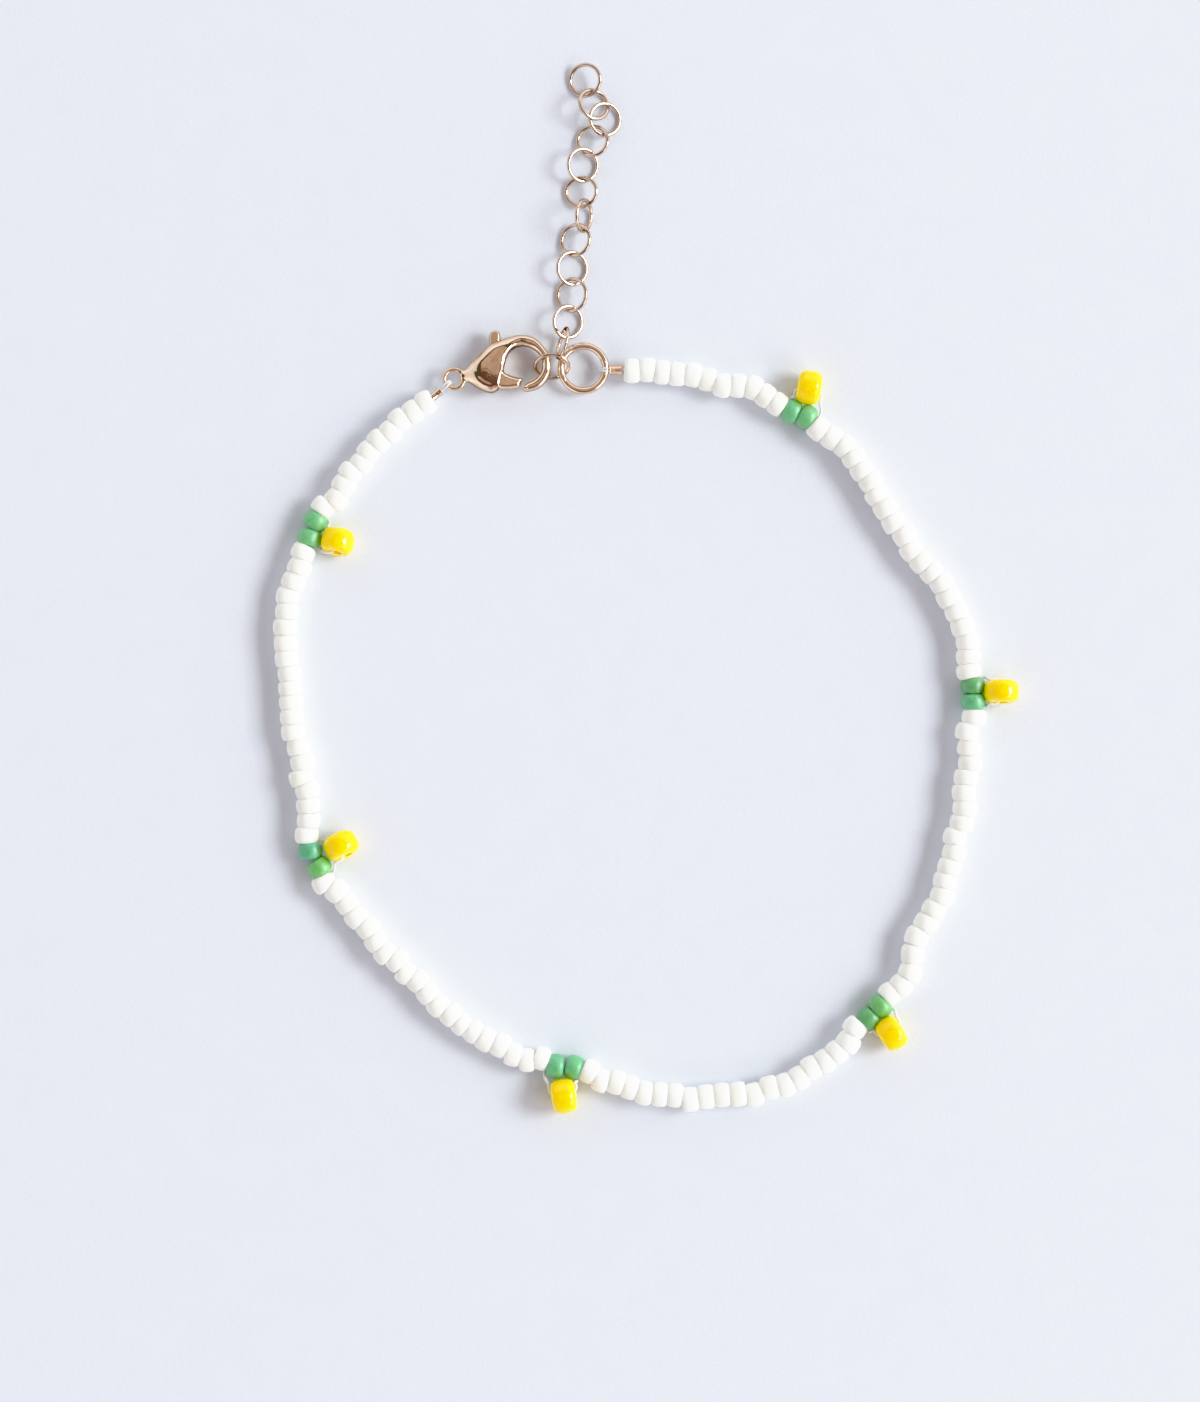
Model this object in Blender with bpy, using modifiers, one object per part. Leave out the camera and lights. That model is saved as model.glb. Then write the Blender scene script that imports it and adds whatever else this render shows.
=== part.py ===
"""Beaded bracelet lying open on a surface.

Seven runs of white seed beads and six flower motifs (two green beads on the
thread, one yellow bead held beside them by a loop of thread) are strung on
one clear thread.  A lobster clasp and a jump ring end the strand, and an
extender chain hangs from the jump ring.

Sizes and tables are in millimetres.  X is to the right and Y to the top of
the bracelet as it lies, Z is up, and the surface it lies on is z = 0.
"""
import math

import bmesh
import bpy
import numpy as np
from mathutils import Vector

MM = 0.001

# ------------------------------------------------------------ driving sizes
WHITE_DIAMETER = 2.20
WHITE_LENGTH = 1.30
WHITE_FACE_DIAMETER = 1.46
GREEN_DIAMETER = 2.20
GREEN_LENGTH = 1.26
GREEN_HOLE = 0.92
YELLOW_DIAMETER = 3.12
YELLOW_LENGTH = 2.36
YELLOW_HOLE = 1.10
CORE_DIAMETER = 0.30          # the strand's thread
LOOP_DIAMETER = 0.26          # the thread that holds each yellow bead
STRAND_Z = 1.11               # centre line of the small beads
YELLOW_Z = 1.66               # centre of the yellow beads
CRIMP_LENGTH = 0.98
CRIMP_DIAMETER = 0.66

CLASP_Z = 1.25                # middle plane of the clasp
CLASP_HALF = 1.25             # half its thickness at the belly
PIVOT = (-13.49, 20.09)       # lever pivot
PIN_DIAMETER = 0.44
PIN_HOLE = 0.70
SLOT_WIDTH = 1.24
LEVER_THICKNESS = 1.00
END_RING = (-17.36, 18.92)    # centre of the clasp's end ring
END_RING_RADIUS = 0.855
END_RING_WIRE = 0.45

JUMP_RING = (-5.72, 19.89)
JUMP_RING_Z = 1.00
JUMP_RING_RADIUS = 2.01
JUMP_RING_WIRE = 0.54
JUMP_RING_CUT = 212.0         # degrees, where the ring's wire is cut

LINK_WIRE = 0.27
CHAIN_DIAMETER = 2.50
CHAIN_Z = 1.25

# The strand: centre of a bead of each run, counted from the clasp.
STRAND_COLUMNS = ("run", "bead", "x", "y")
STRAND = (
    (1, 1, -19.90, 16.76),
    (1, 3, -22.22, 15.19),
    (1, 6, -25.04, 12.35),
    (1, 9, -27.30, 9.38),
    (1, 11, -29.11, 7.38),
    (2, 1, -30.91, 3.31),
    (2, 4, -32.37, -0.57),
    (2, 7, -32.47, -4.89),
    (2, 10, -32.11, -8.91),
    (2, 13, -31.81, -12.86),
    (2, 16, -31.21, -17.01),
    (2, 18, -30.50, -19.51),
    (2, 20, -30.58, -22.13),
    (3, 1, -29.15, -26.53),
    (3, 4, -26.15, -29.52),
    (3, 7, -23.55, -32.74),
    (3, 10, -20.59, -35.26),
    (3, 13, -17.58, -38.26),
    (3, 16, -14.59, -40.68),
    (3, 18, -11.97, -41.87),
    (3, 20, -9.51, -42.22),
    (4, 1, -5.14, -43.29),
    (4, 4, -1.52, -44.84),
    (4, 7, 2.53, -45.54),
    (4, 10, 6.73, -45.47),
    (4, 13, 10.99, -44.84),
    (4, 16, 14.81, -43.12),
    (4, 18, 17.10, -41.75),
    (4, 20, 18.72, -39.42),
    (5, 1, 21.79, -36.34),
    (5, 4, 23.89, -32.74),
    (5, 7, 25.80, -28.78),
    (5, 10, 27.28, -25.00),
    (5, 13, 28.32, -21.08),
    (5, 16, 28.68, -16.94),
    (5, 18, 28.92, -14.29),
    (5, 20, 29.44, -11.45),
    (6, 1, 28.97, -7.40),
    (6, 4, 28.41, -3.44),
    (6, 7, 26.51, 0.57),
    (6, 10, 23.82, 3.44),
    (6, 13, 21.42, 7.31),
    (6, 16, 19.35, 10.69),
    (6, 18, 17.80, 12.86),
    (6, 20, 15.37, 14.30),
    (7, 1, 11.70, 16.66),
    (7, 3, 9.55, 18.08),
    (7, 6, 5.44, 18.90),
    (7, 9, 1.38, 19.49),
    (7, 11, -1.34, 19.55),
)

# The motifs, one after each run: centres of the two green beads in thread
# order, centre of the yellow bead and the direction it stands off, degrees.
MOTIF_COLUMNS = ("motif", "g1_x", "g1_y", "g2_x", "g2_y", "y_x", "y_y", "off")
MOTIFS = (
    ("a", -29.82, 6.09, -30.38, 4.59, -27.72, 4.30, -8.0),
    ("b", -30.27, -23.54, -29.45, -25.06, -27.48, -23.10, 28.0),
    ("c", -8.26, -42.95, -6.54, -43.05, -7.46, -45.72, -84.0),
    ("d", 19.94, -38.64, 21.01, -37.53, 22.13, -40.13, -55.0),
    ("e", 29.36, -10.13, 29.34, -8.68, 32.05, -9.27, 0.0),
    ("f", 14.37, 15.54, 13.02, 16.02, 14.66, 18.24, 78.0),
)

# The belly of the clasp, section by section from the end ring to the hook:
# station, upper edge, lower edge and half thickness, from the pivot.
BELLY_COLUMNS = ("x", "upper", "lower", "half_thickness")
BELLY = (
    (-3.06, -0.55, -1.30, 0.36),
    (-2.70, -0.34, -1.35, 0.55),
    (-2.34, 0.15, -1.47, 0.85),
    (-1.98, 0.63, -1.65, 1.08),
    (-1.53, 1.08, -1.91, 1.21),
    (-1.08, 1.48, -2.14, 1.25),
    (-0.63, 1.83, -2.30, 1.25),
    (-0.18, 2.11, -2.34, 1.25),
    (0.09, 2.21, -2.16, 1.25),
    (0.45, 2.29, -0.95, 1.25),
    (0.72, 2.31, 0.14, 1.16),
    (0.99, 2.25, 0.88, 0.98),
    (1.26, 2.05, 1.30, 0.72),
)

# The hook of the clasp, along its middle line: place and width.
HOOK_COLUMNS = ("x", "y", "width")
HOOK = (
    (0.70, 1.65, 1.02),
    (1.25, 1.97, 1.00),
    (1.80, 2.22, 0.96),
    (2.66, 2.30, 1.00),
    (3.38, 2.05, 1.04),
    (4.00, 1.54, 1.06),
    (4.37, 0.92, 1.08),
    (4.49, 0.15, 1.08),
    (4.34, -0.61, 1.00),
    (3.90, -1.15, 0.88),
    (3.18, -1.62, 0.82),
    (2.66, -1.84, 0.76),
)

# The lever's outline from its pivot: thumb tab, hub and gate.
LEVER_COLUMNS = ("x", "y")
LEVER = (
    (-0.61, 1.89),
    (-0.61, 2.79),
    (-0.50, 3.06),
    (-0.21, 3.17),
    (0.09, 3.09),
    (0.25, 2.79),
    (0.29, 1.89),
    (0.36, 0.99),
    (0.52, 0.45),
    (0.58, -0.09),
    (0.68, -0.58),
    (0.99, -0.76),
    (1.35, -0.90),
    (1.80, -1.08),
    (2.14, -1.22),
    (2.20, -1.56),
    (2.14, -1.90),
    (1.80, -2.02),
    (1.26, -2.11),
    (0.63, -2.13),
    (0.14, -2.04),
    (-0.23, -1.53),
    (-0.50, -0.95),
    (-0.70, -0.41),
    (-0.74, 0.18),
    (-0.67, 0.90),
)

# The slot that the lever turns in, open at the clasp's upper edge and
# towards the hook.
SLOT_COLUMNS = ("x", "y")
SLOT = (
    (-2.79, 0.90),
    (-2.12, 0.18),
    (-1.35, 0.18),
    (-0.92, -0.36),
    (-0.66, -1.35),
    (-0.40, -2.05),
    (-0.27, -3.06),
    (1.71, -3.06),
    (1.71, 0.45),
    (1.08, 0.54),
    (0.66, 0.77),
    (0.50, 1.26),
    (0.50, 3.96),
    (-2.79, 3.96),
)

# Middle line of the extender chain from its free end to the last round link.
CHAIN_COLUMNS = ("x", "y")
CHAIN = (
    (-5.56, 47.22),
    (-5.45, 45.60),
    (-4.85, 43.60),
    (-3.95, 42.10),
    (-4.70, 40.40),
    (-5.60, 38.20),
    (-5.85, 35.80),
    (-5.75, 33.60),
    (-6.35, 31.40),
    (-6.75, 28.90),
    (-6.80, 26.50),
    (-7.10, 24.10),
    (-7.15, 23.78),
)


# ------------------------------------------------------------------ helpers
def clear_scene():
    for obj in list(bpy.data.objects):
        bpy.data.objects.remove(obj, do_unlink=True)


def collection(name):
    col = bpy.data.collections.new(name)
    bpy.context.scene.collection.children.link(col)
    return col


def material(name, colour, roughness, metallic=0.0):
    mat = bpy.data.materials.new(name)
    mat.use_nodes = True
    bsdf = mat.node_tree.nodes["Principled BSDF"]
    bsdf.inputs["Base Color"].default_value = (*colour, 1.0)
    bsdf.inputs["Roughness"].default_value = roughness
    bsdf.inputs["Metallic"].default_value = metallic
    mat.diffuse_color = (*colour, 1.0)
    return mat


def through(points, t_values, at):
    """Natural cubic spline through points given at t_values, read at `at`."""
    t = np.array(t_values, float)
    p = np.array(points, float)
    n = len(t)
    h = np.diff(t)
    a = np.zeros((n, n))
    b = np.zeros((n, p.shape[1]))
    a[0, 0] = a[-1, -1] = 1.0
    for i in range(1, n - 1):
        a[i, i - 1], a[i, i + 1] = h[i - 1], h[i]
        a[i, i] = 2.0 * (h[i - 1] + h[i])
        b[i] = 6.0 * ((p[i + 1] - p[i]) / h[i] - (p[i] - p[i - 1]) / h[i - 1])
    m = np.linalg.solve(a, b)
    out = []
    for x in at:
        i = int(min(max(np.searchsorted(t, x) - 1, 0), n - 2))
        u, v, k = t[i + 1] - x, x - t[i], h[i]
        out.append(m[i] * u ** 3 / (6 * k) + m[i + 1] * v ** 3 / (6 * k)
                   + (p[i] / k - m[i] * k / 6) * u
                   + (p[i + 1] / k - m[i + 1] * k / 6) * v)
    return np.array(out)


def chord_lengths(points):
    p = np.array(points, float)
    steps = np.linalg.norm(np.diff(p, axis=0), axis=1)
    return np.concatenate([[0.0], np.cumsum(steps)])


def wire(name, points, radii, col, mat, cyclic=False):
    """A round wire on a polyline; radii is one number or one for each point."""
    if not hasattr(radii, "__len__"):
        radii = [radii] * len(points)
    widest = max(radii)
    cu = bpy.data.curves.new(name, "CURVE")
    cu.dimensions = "3D"
    cu.twist_mode = "Z_UP"
    cu.bevel_depth = widest * MM
    cu.bevel_resolution = 2
    cu.use_fill_caps = True
    sp = cu.splines.new("POLY")
    sp.points.add(len(points) - 1)
    for pt, xyz, r in zip(sp.points, points, radii):
        pt.co = (xyz[0] * MM, xyz[1] * MM, xyz[2] * MM, 1.0)
        pt.radius = r / widest
    sp.use_cyclic_u = cyclic
    sp.use_smooth = True
    obj = bpy.data.objects.new(name, cu)
    cu.materials.append(mat)
    col.objects.link(obj)
    return obj


def as_mesh(obj):
    """Turn a curve object into a mesh object with its caps welded."""
    bpy.context.view_layer.update()
    deps = bpy.context.evaluated_depsgraph_get()
    mesh = bpy.data.meshes.new_from_object(obj.evaluated_get(deps))
    bm = bmesh.new()
    bm.from_mesh(mesh)
    bmesh.ops.remove_doubles(bm, verts=bm.verts, dist=1e-7)
    bm.to_mesh(mesh)
    bm.free()
    new = bpy.data.objects.new(obj.name, mesh)
    new.matrix_world = obj.matrix_world.copy()
    for col in obj.users_collection:
        col.objects.link(new)
    name = obj.name
    bpy.data.objects.remove(obj, do_unlink=True)
    new.name = name
    mesh.name = name
    return new


def plate(name, outline, thickness, place, col, mat=None, hole=0.0):
    """A flat outline of a thickness, with a round hole at its own origin."""
    cu = bpy.data.curves.new(name, "CURVE")
    cu.dimensions = "2D"
    cu.fill_mode = "BOTH"
    cu.extrude = thickness * MM / 2
    loops = [outline]
    if hole:
        loops.append([(hole / 2 * math.cos(a), hole / 2 * math.sin(a))
                      for a in [math.tau * i / 14 for i in range(14)]])
    for loop in loops:
        sp = cu.splines.new("POLY")
        sp.points.add(len(loop) - 1)
        for pt, (x, y) in zip(sp.points, loop):
            pt.co = (x * MM, y * MM, 0.0, 1.0)
        sp.use_cyclic_u = True
    if mat:
        cu.materials.append(mat)
    obj = bpy.data.objects.new(name, cu)
    obj.location = Vector(place) * MM
    col.objects.link(obj)
    return as_mesh(obj)


def turned_mesh(name, profile, steps, mat):
    """A closed profile in XZ, ready for a Screw about Z."""
    mesh = bpy.data.meshes.new(name)
    n = len(profile)
    mesh.from_pydata([(x * MM, 0.0, z * MM) for x, z in profile],
                     [(i, (i + 1) % n) for i in range(n)], [])
    mesh.materials.append(mat)
    return mesh, steps


def turned(name, shape, place, heading, col):
    """A turned bead with its hole along `heading` (degrees in plan)."""
    mesh, steps = shape
    obj = bpy.data.objects.new(name, mesh)
    obj.location = Vector(place) * MM
    obj.rotation_euler = (0.0, math.pi / 2, math.radians(heading))
    mod = obj.modifiers.new("Screw", "SCREW")
    mod.steps = steps
    mod.render_steps = steps
    mod.merge_threshold = 1e-5
    mod.use_merge_vertices = True
    mod.use_smooth_shade = True
    col.objects.link(obj)
    return obj


def bead_profile(diameter, length, hole):
    r, h, b = diameter / 2, length / 2, hole / 2
    return ((0.72 * r, h), (0.92 * r, 0.76 * h), (r, 0.30 * h),
            (r, -0.30 * h), (0.92 * r, -0.76 * h), (0.72 * r, -h),
            (b, -0.94 * h), (b, 0.94 * h))


def boolean(obj, tool, operation):
    mod = obj.modifiers.new(operation.title(), "BOOLEAN")
    mod.operation = operation
    mod.solver = "EXACT"
    mod.object = tool


def smooth(mesh, degrees=40.0):
    mesh.shade_smooth()
    mesh.set_sharp_from_angle(angle=math.radians(degrees))


# -------------------------------------------------------------- the strand
def bead_centres():
    """Every bead on the thread in order: (kind, run or motif, number, x, y)."""
    out = []
    for run in range(1, 8):
        rows = [r for r in STRAND if r[0] == run]
        count = rows[-1][1]
        pts = through([r[2:] for r in rows], [r[1] for r in rows],
                      range(1, count + 1))
        out += [("white", run, i + 1, *pts[i]) for i in range(count)]
        if run <= len(MOTIFS):
            m = MOTIFS[run - 1]
            out += [("green", m[0], 1, m[1], m[2]), ("green", m[0], 2, m[3], m[4])]
    return out


class Strand:
    """The thread's smooth line through all the bead centres, by length."""

    def __init__(self, beads):
        self.points = [(b[3], b[4]) for b in beads]
        self.s = chord_lengths(self.points)

    def at(self, s):
        x, y = through(self.points, self.s, [s])[0]
        return (x, y, STRAND_Z)

    def heading(self, s):
        a, b = self.at(s - 0.05), self.at(s + 0.05)
        return math.degrees(math.atan2(b[1] - a[1], b[0] - a[0]))


def run_points(strand, beads, run, reach):
    """Stations and radii of one run: face, shoulders and grooves of each
    white bead, then the bare thread for `reach` to the next run."""
    mine = [i for i, b in enumerate(beads) if b[0] == "white" and b[1] == run]
    half, face = WHITE_LENGTH / 2, WHITE_FACE_DIAMETER / 2
    shoulder, full = 0.52 * half, WHITE_DIAMETER / 2
    stations = [(strand.s[mine[0]] - half, face)]
    for a, b in zip(mine, mine[1:] + [None]):
        s = strand.s[a]
        stations += [(s - shoulder, full), (s + shoulder, full)]
        if b is not None:
            stations.append(((s + strand.s[b]) / 2, face))
    end = strand.s[mine[-1]] + half
    stations.append((end, face))
    if reach > 0.05:
        core = CORE_DIAMETER / 2
        stations.append((end + 0.03, core))
        stops = max(1, int(round(reach / 1.0)))
        stations += [(end + 0.03 + (reach - 0.03) * (k + 1) / stops, core)
                     for k in range(stops)]
    return ([strand.at(s) for s, _ in stations], [r for _, r in stations])


def loop_points(strand, beads, motif):
    """The thread loop that carries a motif's yellow bead."""
    key, yx, yy, off = motif[0], motif[5], motif[6], math.radians(motif[7])
    d = Vector((math.cos(off), math.sin(off), 0.0))
    i = next(k for k, b in enumerate(beads) if b[0] == "green" and b[1] == key)
    centre = Vector((yx, yy, YELLOW_Z))
    half = YELLOW_LENGTH / 2
    before = strand.s[i - 1] + WHITE_LENGTH / 2
    start = (before + strand.s[i] - GREEN_LENGTH / 2) / 2
    after = strand.s[i + 2] - WHITE_LENGTH / 2
    finish = (after + strand.s[i + 1] + GREEN_LENGTH / 2) / 2
    legs = []
    for s in (start, finish):
        p = Vector(strand.at(s))
        t = math.radians(strand.heading(s))
        out = Vector((-math.sin(t), math.cos(t), 0.0))
        if out.dot(d) < 0:
            out = -out
        side = Vector((-math.sin(off), math.cos(off), 0.0))
        if side.dot(p - centre) < 0:
            side = -side
        a = p + out * 1.04
        b = centre + side * (half + 0.34) - d * 1.10
        b.z = (STRAND_Z + YELLOW_Z) / 2 + 0.10
        middle = a.lerp(b, 0.5) + side * 0.12
        legs.append([a, middle, b,
                     centre + side * (half + 0.34) - d * 0.55,
                     centre + side * (half + 0.16) - d * 0.14,
                     centre + side * (half - 0.15)])
    return legs[0] + [centre] + legs[1][::-1]


def build_strand(col, mats):
    beads = bead_centres()
    strand = Strand(beads)
    green = turned_mesh("green_bead", bead_profile(
        GREEN_DIAMETER, GREEN_LENGTH, GREEN_HOLE), 12, mats["green"])
    yellow = turned_mesh("yellow_bead", bead_profile(
        YELLOW_DIAMETER, YELLOW_LENGTH, YELLOW_HOLE), 16, mats["yellow"])

    for run in range(1, 8):
        last = max(i for i, b in enumerate(beads)
                   if b[0] == "white" and b[1] == run)
        if run < 7:
            gap = strand.s[last + 3] - strand.s[last] - WHITE_LENGTH
            reach = gap - 0.20
        else:
            reach = 0.26
        points, radii = run_points(strand, beads, run, reach)
        wire("white_beads_%d" % run, points, radii, col, mats["white"])

    for i, b in enumerate(beads):
        if b[0] == "green":
            turned("green_bead_%s%d" % (b[1], b[2]), green,
                   strand.at(strand.s[i]), strand.heading(strand.s[i]), col)

    for m in MOTIFS:
        turned("yellow_bead_" + m[0], yellow, (m[5], m[6], YELLOW_Z),
               m[7] + 90.0, col)
        wire("thread_loop_" + m[0], loop_points(strand, beads, m),
             LOOP_DIAMETER / 2, col, mats["thread"])
    return strand


# --------------------------------------------------------------- the ends
def eye_of_thread(name, crimp_end, heading, around, wire_radius, z, col, mat):
    """A thread loop from a crimp's end over a ring's wire and back under."""
    r = LOOP_DIAMETER / 2
    t = math.radians(heading)
    u = Vector((math.cos(t), math.sin(t), 0.0))
    c = Vector((around[0], around[1], z))
    reach = wire_radius + r + 0.09
    start = Vector((crimp_end[0], crimp_end[1], z))
    back = (start - c).dot(u)
    pts = []
    for k in range(9):
        a = math.radians(70.0 + 220.0 * k / 8)
        pts.append(c - u * (reach * math.cos(a)) * -1.0
                   + Vector((0, 0, reach * math.sin(a))))
    first = c + u * back + Vector((0, 0, 0.62 * reach))
    last = c + u * back - Vector((0, 0, 0.62 * reach))
    wire(name, [first] + pts + [last], r, col, mat)


def build_ends(col, mats):
    # crimp by the clasp, its thread eye round the clasp's end ring
    heading = 40.0
    t = math.radians(heading)
    u = (math.cos(t), math.sin(t))
    centre = (-18.95, 17.54)
    crimp = CRIMP_DIAMETER / 2
    half = CRIMP_LENGTH / 2
    shape = ((-half, 0.80 * crimp), (-0.72 * half, crimp), (0.72 * half, crimp),
             (half, 0.80 * crimp))
    wire("crimp_clasp_side",
         [(centre[0] + u[0] * s, centre[1] + u[1] * s, STRAND_Z)
          for s, _ in shape], [r for _, r in shape], col, mats["gold"])
    tip = (centre[0] + u[0] * (half + 0.20), centre[1] + u[1] * (half + 0.20))
    wire_at = (END_RING[0] - u[0] * END_RING_RADIUS,
               END_RING[1] - u[1] * END_RING_RADIUS)
    eye_of_thread("thread_end_clasp", tip, heading + 180.0, wire_at,
                  END_RING_WIRE / 2, CLASP_Z, col, mats["thread"])

    # crimp by the jump ring, its thread eye round the jump ring
    centre = (-2.83, 19.73)
    z = 1.02
    wire("crimp_ring_side",
         [(centre[0] + s, centre[1], z) for s, _ in shape],
         [0.9 * r for _, r in shape], col, mats["gold"])
    wire_at = (JUMP_RING[0] + JUMP_RING_RADIUS, centre[1])
    eye_of_thread("thread_end_ring", (centre[0] - half - 0.20, centre[1]), 0.0,
                  wire_at, JUMP_RING_WIRE / 2, JUMP_RING_Z, col, mats["thread"])


def ring_points(centre, u, v, a, b, count, start=0.0, sweep=360.0, closed=True):
    out = []
    n = count if closed else count - 1
    for k in range(count):
        t = math.radians(start + sweep * k / n)
        out.append(Vector(centre) + Vector(u) * (a * math.cos(t))
                   + Vector(v) * (b * math.sin(t)))
    return out


def build_rings(col, mats):
    cut = 3.0
    wire("jump_ring",
         ring_points((*JUMP_RING, JUMP_RING_Z), (1, 0, 0), (0, 1, 0),
                     JUMP_RING_RADIUS, JUMP_RING_RADIUS, 28,
                     JUMP_RING_CUT + cut, 360.0 - 2 * cut, closed=False),
         JUMP_RING_WIRE / 2, col, mats["gold"])
    # the link that the clasp holds leans on the hook, its upper side raised
    lean = math.radians(47.0)
    wire("clasped_link",
         ring_points((-8.55, 20.05, 1.27), (1, 0, 0),
                     (0, math.cos(lean), math.sin(lean)), 1.50, 1.40, 18),
         LINK_WIRE / 2, col, mats["gold"], cyclic=True)
    # the next link stands nearly on edge
    long_way = math.radians(76.0)
    lean = math.radians(-75.0)
    d = Vector((math.cos(long_way), math.sin(long_way), 0.0))
    w = Vector((d.y, -d.x, 0.0))
    wire("hanging_link",
         ring_points((-7.57, 22.07, 1.78), d,
                     w * math.cos(lean) - Vector((0, 0, 1)) * math.sin(lean),
                     1.38, 1.34, 18),
         LINK_WIRE / 2, col, mats["gold"], cyclic=True)
    marks = chord_lengths(CHAIN)
    steps = 12
    line = through(CHAIN, marks, [marks[-1] * k / steps
                                  for k in range(steps + 1)])
    wire("extender_chain", [(x, y, CHAIN_Z) for x, y in line],
         CHAIN_DIAMETER / 2, col, mats["gold"])


# --------------------------------------------------------------- the clasp
def belly_mesh(mat):
    """The clasp's rounded belly, lofted through its sections."""
    shape = ((-0.60, -1.0), (0.60, -1.0), (0.88, -0.78), (1.0, -0.34),
             (1.0, 0.34), (0.88, 0.78), (0.60, 1.0), (-0.60, 1.0),
             (-0.88, 0.78), (-1.0, 0.34), (-1.0, -0.34), (-0.88, -0.78))
    bm = bmesh.new()
    rings = []
    for x, up, low, half in BELLY:
        mid, w = (up + low) / 2, (up - low) / 2
        rings.append([bm.verts.new((x * MM, (mid + w * a) * MM, half * b * MM))
                      for a, b in shape])
    n = len(shape)
    for a, b in zip(rings, rings[1:]):
        for i in range(n):
            j = (i + 1) % n
            bm.faces.new((a[i], a[j], b[j], b[i]))
    bm.faces.new(rings[0][::-1])
    bm.faces.new(rings[-1])
    bmesh.ops.recalc_face_normals(bm, faces=bm.faces)
    mesh = bpy.data.meshes.new("clasp_body")
    bm.to_mesh(mesh)
    bm.free()
    mesh.materials.append(mat)
    return mesh


def build_clasp(col, tools, mats):
    place = (*PIVOT, CLASP_Z)
    body = bpy.data.objects.new("clasp_body", belly_mesh(mats["gold"]))
    body.location = Vector(place) * MM
    col.objects.link(body)

    hook = as_mesh(wire("hook_form",
                        [(PIVOT[0] + x, PIVOT[1] + y, CLASP_Z)
                         for x, y, _ in HOOK],
                        [w / 2 for _, _, w in HOOK], tools, mats["gold"]))
    bpy.ops.mesh.primitive_torus_add(
        major_radius=END_RING_RADIUS * MM, minor_radius=END_RING_WIRE / 2 * MM,
        major_segments=24, minor_segments=8,
        location=(END_RING[0] * MM, END_RING[1] * MM, CLASP_Z * MM))
    ring = bpy.context.active_object
    ring.name = "end_ring_form"
    slot = plate("slot_cut", SLOT, SLOT_WIDTH, place, tools)
    bpy.ops.mesh.primitive_cylinder_add(
        vertices=14, radius=PIN_DIAMETER / 2 * MM,
        depth=(SLOT_WIDTH + 0.4) * MM, location=Vector(place) * MM)
    pin = bpy.context.active_object
    pin.name = "pin_form"
    for obj in (ring, pin):
        for c in list(obj.users_collection):
            c.objects.unlink(obj)
        tools.objects.link(obj)
    boolean(body, hook, "UNION")
    boolean(body, ring, "UNION")
    boolean(body, slot, "DIFFERENCE")
    boolean(body, pin, "UNION")
    for obj in tools.objects:
        obj.hide_render = True
        obj.display_type = "WIRE"

    lever = plate("clasp_lever", LEVER, LEVER_THICKNESS, place, col,
                  mats["gold"], hole=PIN_HOLE)
    bev = lever.modifiers.new("Bevel", "BEVEL")
    bev.width = 0.10 * MM
    bev.segments = 1
    bev.limit_method = "ANGLE"
    bev.angle_limit = math.radians(60.0)
    smooth(lever.data)
    smooth(body.data)


def main():
    clear_scene()
    col = collection("beaded_bracelet")
    tools = collection("cutters")
    mats = {
        "white": material("white_bead_glass", (0.90, 0.88, 0.82), 0.55),
        "green": material("green_bead_glass", (0.16, 0.48, 0.20), 0.45),
        "yellow": material("yellow_bead_glass", (0.95, 0.66, 0.01), 0.10),
        "thread": material("clear_thread", (0.85, 0.86, 0.88), 0.20),
        "gold": material("gold_plate", (0.80, 0.56, 0.38), 0.18, 1.0),
    }
    build_strand(col, mats)
    build_ends(col, mats)
    build_rings(col, mats)
    build_clasp(col, tools, mats)
    bpy.context.view_layer.update()


main()
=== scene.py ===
"""Looks of the beaded bracelet: beads, thread, clasp, ring and chain links.

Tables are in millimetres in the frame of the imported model: X to the right,
Y to the top of the bracelet as it lies, Z up from the surface it lies on.
"""
import math

import bmesh
import bpy
import numpy as np
from mathutils import Matrix, Vector


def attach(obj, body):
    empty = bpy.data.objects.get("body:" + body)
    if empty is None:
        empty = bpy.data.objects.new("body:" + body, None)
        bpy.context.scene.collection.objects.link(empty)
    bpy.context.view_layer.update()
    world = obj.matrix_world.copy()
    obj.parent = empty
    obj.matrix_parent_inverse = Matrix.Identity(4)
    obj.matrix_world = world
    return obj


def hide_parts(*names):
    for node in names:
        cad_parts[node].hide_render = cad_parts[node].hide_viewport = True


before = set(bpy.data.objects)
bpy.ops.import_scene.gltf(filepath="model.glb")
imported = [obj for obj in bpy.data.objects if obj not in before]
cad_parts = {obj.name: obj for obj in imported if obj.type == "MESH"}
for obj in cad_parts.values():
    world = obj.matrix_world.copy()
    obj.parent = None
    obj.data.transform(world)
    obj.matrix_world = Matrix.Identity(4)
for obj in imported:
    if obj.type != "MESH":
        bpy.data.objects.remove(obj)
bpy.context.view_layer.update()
MM = 0.001
BODY = "bracelet"
LEVER = "lever"

# ------------------------------------------------------------------- sizes
WHITE_R = 1.10
GREEN_R = 1.11
THREAD_R = 0.115

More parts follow.
